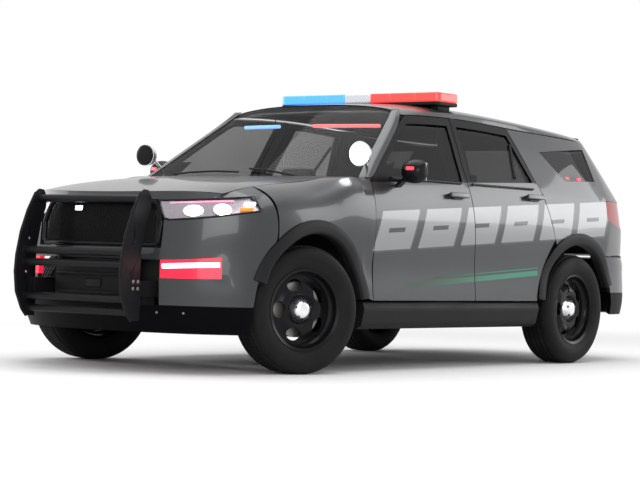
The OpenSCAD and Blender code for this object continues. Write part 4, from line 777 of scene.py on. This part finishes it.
def headlampPieces(way, side):
    def flip(vector): return Vector((vector[0], vector[1] * way, vector[2]))
    for k, (heading, near, stretch) in enumerate(lamps["units"]):
        far = flip(near) + flip(heading) * 0.4
        place, normal = touch("headlamps", far, -flip(heading))
        unit = lathe(dome(lamps["radius"], 0.009, 0.004), 36)
        unit.scale = (stretch[0], 1, stretch[1])
        settle(unit)
        give(aim(unit, place - normal * 0.008, normal), "headlamp_unit_" + side + str(k), "whiteLit", "body")
        collar = lathe([(lamps["radius"] + 0.001, -0.004), (lamps["radius"] + 0.001, 0.006), (lamps["radius"] + 0.005, 0.006),
            (lamps["radius"] + 0.006, -0.004), (lamps["radius"] + 0.001, -0.004)], 36)
        collar.scale = (stretch[0], 1, stretch[1])
        settle(collar)
        give(aim(collar, place - normal * 0.008, normal), "headlamp_collar_" + side + str(k), "bright", "body")
    edge = []
    for (y0, z0), (y1, z1) in zip(lamps["outline"], lamps["outline"][1:] + lamps["outline"][:1]):
        edge += [(4, way * y, z) for y, z in zip(steps(y0, y1, 7)[:-1], steps(z0, z1, 7)[:-1])]
    give(tube(skim("headlamps", edge, (-1, 0, 0), -0.001), 0.0065, 12, True), "headlamp_frame_" + side, "gloss", "body")
    line = [(4, way * y, z) for y, z in zip(steps(0.50, 0.80, 12), steps(0.984, 1.004, 12))]
    strip = tube(skim("headlamps", line, (-1, 0, 0), -0.002), 0.0055)
    give(strip, "headlamp_strip_" + side, "pinkSoft", "body")
    line = [(4, way * y, z) for y, z in zip(steps(0.845, 0.885, 5), steps(0.958, 0.962, 5))]
    end = tube(skim("headlamps", line, (-1, 0, 0), -0.004), 0.011)
    give(end, "headlamp_turn_" + side, "amber", "body")
    line = [(4, way * y, z) for y, z in zip(steps(0.845, 0.878, 5), steps(0.992, 0.996, 5))]
    give(tube(skim("headlamps", line, (-1, 0, 0), -0.003), 0.008), "headlamp_side_" + side, "blueWhite", "body")
    line = [(4, way * y, z) for y, z in zip(steps(0.475, 0.79, 14), steps(0.618, 0.634, 14))]
    give(tube(skim("headlamps", line, (-1, 0, 0), 0.001), 0.014), "corner_led_" + side, "pinkLit", "body")


for side, way in sides.items():
    headlampPieces(way, side)
for node, finish in {"tail_lamps": "red"}.items():
    parts = [panel(part, 38, 2) for part in solids(node)]
    give(joined(parts), node + "_smooth", finish, "body", node)
print("headlamps done")

# ---- Mirrors, spotlights, quarter lamps, visor lamps ----
for side, way in sides.items():
    node = "mirror_" + side
    parts = [panel(part, 50, 2) for part in solids(node)]
    give(joined(parts), node + "_smooth", "gloss", bodyOf(node), node)
    plate = block((0.5945, way * 1.045 - 0.062, 1.190), (0.6005, way * 1.045 + 0.062, 1.302), 0.0028, 2)
    give(plate, "mirror_glass_" + side, "bright", bodyOf(node))
    place, normal = touch(node, (2, way * 1.06, 1.262), (-1, 0, 0))
    red = block((-0.026, -0.002, -0.010), (0.026, 0.006, 0.010), 0.004, 3)
    give(aim(red, place - normal * 0.002, normal), "mirror_lamp_" + side, "redLit", bodyOf(node))
parts = solids("spotlights")
give(joined([panel(part, 40, 1) for part in parts]), "spotlight_shells", "bright", "body", "spotlights")
spot = {"place": (1.0120, 0.884, 1.338), "radius": 0.068}
for side, way in sides.items():
    place = (spot["place"][0], way * spot["place"][1], spot["place"][2])
    glass = lathe(dome(spot["radius"], 0.0045, 0.002), 48)
    give(aim(glass, place, (1, 0, 0)), "spotlight_glass_" + side, "whiteLit" if side == "left" else "gloss", "body")
for side, way in sides.items():
    for k, x in enumerate((-1.50, -1.66)):
        place, normal = touch("quarter_glass", (x, way * 2, 1.302), (0, -way, 0))
        if place:
            red = block((-0.020, -0.002, -0.008), (0.020, 0.006, 0.008), 0.003, 2)
            give(aim(red, place, normal), "quarter_lamp_" + side + str(k), "redLit", "body")
visor = {"left": (0.14, 0.62, "visorRed"), "right": (-0.47, -0.14, "visorBlue"), "z": 1.572, "x": 0.500}
for side in sides:
    first, last, finish = visor[side]
    line = [(4, y, visor["z"]) for y in steps(first, last, 8)]
    places = [place + Vector((-0.030, 0, -0.022)) for place in skim("windshield", line, (-1, 0, 0))]
    give(tube(places, 0.012), "visor_lamp_" + side, finish, "body")
print("small lamps done")

# ---- Lightbar ----
beacon = {"x": (-0.405, -0.143), "low": 1.7295, "waist": 1.752, "high": 1.8145, "edge": 0.010, "corner": 0.040,
    "parts": [(-0.668, -0.470, "beaconBlue"), (-0.466, -0.268, "beaconBlue"), (-0.264, -0.110, "beaconBlue"),
        (-0.106, 0.106, "beaconClear"), (0.110, 0.264, "beaconRed"), (0.268, 0.466, "beaconRed"), (0.470, 0.668, "beaconRed")]}


def cornered(piece, far):  # rounds the upright edges at one end
    pick(piece, edges=lambda a, b: abs(a.z - b.z) > 0.01 and abs(a.y - far) < 0.001 and abs(b.y - far) < 0.001)
    bpy.ops.mesh.bevel(offset=beacon["corner"], segments=8)
    bpy.ops.object.mode_set(mode="OBJECT")
    return piece


base = block((beacon["x"][0], -0.668, beacon["low"]), (beacon["x"][1], 0.668, beacon["waist"]), 0)
cornered(cornered(base, 0.668), -0.668)
modify(base, "BEVEL", width=0.004, segments=2, limit_method="ANGLE")
give(smooth(base), "lightbar_base", "plastic", "body", "lightbar")
for k, (first, last, finish) in enumerate(beacon["parts"]):
    module = block((beacon["x"][0] + 0.003, first, beacon["waist"]), (beacon["x"][1] - 0.003, last, beacon["high"]), 0)
    if k in (0, 6):
        cornered(module, first if k == 0 else last)
    modify(module, "BEVEL", width=beacon["edge"], segments=4, limit_method="ANGLE")
    give(smooth(module), "lightbar_module_" + str(k), finish, "body")
feet = [part for part in solids("lightbar")]
feet.sort(key=lambda part: part.dimensions.y)
for part in feet[-1:]:
    bpy.data.objects.remove(part)
if feet[:-1]:
    legs = modify(joined(feet[:-1]), "BEVEL", width=0.003, segments=2, limit_method="ANGLE")
    give(smooth(legs), "lightbar_feet", "plastic", "body")
else:
    legs = [block((-0.344, way * 0.60 - 0.03, 1.700), (-0.204, way * 0.60 + 0.03, 1.732), 0.004) for way in (1, -1)]
    give(joined(legs), "lightbar_feet", "plastic", "body")
print("lightbar done")

# ---- Push bumper ----
parts = [modify(part, "BEVEL", width=0.0025, segments=2, limit_method="ANGLE", angle_limit=math.radians(35))
    for part in solids("push_bumper")]
give(even(joined(parts)), "push_bumper_smooth", "powder", "body", "push_bumper")
guard = {"tip": 2.6315, "outline": [(0.150, 1.030), (0.092, 0.930), (0.040, 0.800), (0.008, 0.660), (0.0, 0.560),
    (0.014, 0.440), (0.062, 0.340), (0.100, 0.300)], "radius": 0.0085, "y": 0.420}
for side, way in sides.items():
    line = [(guard["tip"] - back - guard["radius"], way * guard["y"], z) for back, z in guard["outline"]]
    give(tube(line, guard["radius"]), "guard_strip_" + side, "rubber", "body")
    bolts = [bolt((guard["tip"] - back, way * (guard["y"] + 0.006), z), (0, way, 0), 0.012, 0.006)
        for back, z in ((0.110, 0.485), (0.110, 0.525), (0.150, 0.485), (0.150, 0.525))]
    give(joined(bolts), "guard_bolts_" + side, "dull", "body")
print("push bumper done")

# ---- Tail ----
plate = block((-2.5845, -0.155, 0.840), (-2.5800, 0.155, 0.965), 0.0015, 2)
give(plate, "blank_plate", "plate", bodyOf("number_plate_holder"))
line = [(-4, y, 1.628) for y in steps(-0.22, 0.22, 9)]
give(tube(skim("tailgate", line, (1, 0, 0), 0.002), 0.008), "high_lamp", "red", "tailgate")
line = [(-4, y, 1.02) for y in steps(-0.46, 0.46, 15)]
give(tube(skim("tailgate", line, (1, 0, 0), 0.001), 0.012), "tailgate_trim", "gloss", "tailgate")
line = [(-4, y, 0.51) for y in steps(-0.66, 0.66, 19)]
give(tube(skim("rear_bumper", line, (1, 0, 0), -0.002), 0.006), "rear_bumper_line", "plastic", "body")
for side, way in sides.items():
    place, normal = touch("rear_bumper", (-4, way * 0.62, 0.455), (1, 0, 0))
    reflector = block((-0.055, -0.001, -0.016), (0.055, 0.005, 0.016), 0.003, 2)
    give(aim(reflector, place, normal), "reflector_" + side, "red", "body")
for side, way in sides.items():
    line = [(x, way * 2, 0.748) for x in steps(-1.87, -2.36, 12)]
    seal = [Vector((place.x, place.y - way * 0.020, 0.757)) for place in skim("rear_bumper", line, (0, -way, 0))]
    give(tube(seal, 0.013), "bumper_seal_" + side, "rubber", "body")
print("tail done")

# ---- Cabin ----
parts = [modify(part, "BEVEL", width=0.006, segments=3, limit_method="ANGLE", angle_limit=math.radians(35))
    for part in solids("dashboard")]
give(even(joined(parts)), "dashboard_smooth", "cabin", "body", "dashboard")
give(smooth(joined(solids("steering_wheel")), 40), "steering_wheel_smooth", "plastic", "body", "steering_wheel")
seat = {"places": [(0.250, 0.380, 0.50), (0.250, -0.380, 0.50), (-0.650, 0.0, 1.18)], "floor": 0.326,
    "cushion": (-0.235, 0.330, 0.105, 0.262), "back": (0.110, 0.195, 0.795), "lean": 16.0}
for k, (ahead, y, wide) in enumerate(seat["places"]):
    low, high = (ahead + seat["cushion"][0], y - wide / 2, seat["floor"] + seat["cushion"][2]), \
        (ahead + seat["cushion"][1], y + wide / 2, seat["floor"] + seat["cushion"][3])
    cushion = block(low, high, 0)
    modify(cushion, "BEVEL", width=0.030, segments=3, limit_method="ANGLE")
    modify(cushion, "SUBSURF", levels=2, render_levels=2)
    give(smooth(cushion, 60), "seat_cushion_" + str(k), "fabric", "body", *(["seats"] if k == 0 else []))
    low = (-seat["back"][0] / 2, -wide / 2, 0.0)
    back = block(low, (seat["back"][0] / 2, wide / 2, seat["back"][2] - seat["back"][1]), 0)
    modify(back, "BEVEL", width=0.034, segments=3, limit_method="ANGLE")
    modify(back, "SUBSURF", levels=2, render_levels=2)
    turn = Matrix.Rotation(math.radians(-seat["lean"]), 4, "Y")
    put(back, (ahead - 0.130, y, seat["floor"] + seat["back"][1]), tilt=turn)
    give(smooth(back, 60), "seat_back_" + str(k), "fabric", "body")
    heads = [y - wide / 2 + 0.24, y + wide / 2 - 0.24] if wide > 0.6 else [y]
    for j, across in enumerate(heads):
        rest = block((ahead - 0.304, across - 0.130, seat["floor"] + 0.815), (ahead - 0.214, across + 0.130, seat["floor"] + 0.975), 0)
        modify(rest, "BEVEL", width=0.026, segments=3, limit_method="ANGLE")
        modify(rest, "SUBSURF", levels=2, render_levels=2)
        give(smooth(rest, 60), "headrest_" + str(k) + str(j), "fabric", "body")
        posts = [tube([(ahead - 0.262, across + d, seat["floor"] + 0.72), (ahead - 0.262, across + d, seat["floor"] + 0.83)], 0.006)
            for d in (-0.06, 0.06)]
        give(joined(posts), "headrest_posts_" + str(k) + str(j), "bright", "body")
    frame_ = block((ahead - 0.22, y - wide / 2 + 0.04, seat["floor"] + 0.002), (ahead + 0.28, y + wide / 2 - 0.04, seat["floor"] + 0.112), 0.008)
    give(frame_, "seat_base_" + str(k), "cabin", "body")
display = block((0.722, -0.110, 0.985), (0.740, 0.110, 1.120), 0.004, 2)
give(display, "centre_screen", "screen", "body")
for side, way in sides.items():
    trim = block((-1.896, way * 0.675, 0.900), (-1.884, way * 0.870, 1.165), 0.004)
    give(trim, "quarter_trim_" + side, "cabin", "body")
print("cabin done")

# ---- Engine bay and underside ----
parts = [modify(part, "BEVEL", width=0.010, segments=3, limit_method="ANGLE") for part in solids("engine")]
give(smooth(joined(parts)), "engine_smooth", "dark", "body", "engine")
print("engine done")
for node, finish in {"floor_pan": "under", "engine_bay": "under", "inner_sides": "cabin", "front_suspension": "dark",
        "rear_suspension": "dark", "exhaust": "dull", "number_plate_holder": "plastic", "knuckle_left": "dark",
        "knuckle_right": "dark"}.items():
    dress(node, finish)
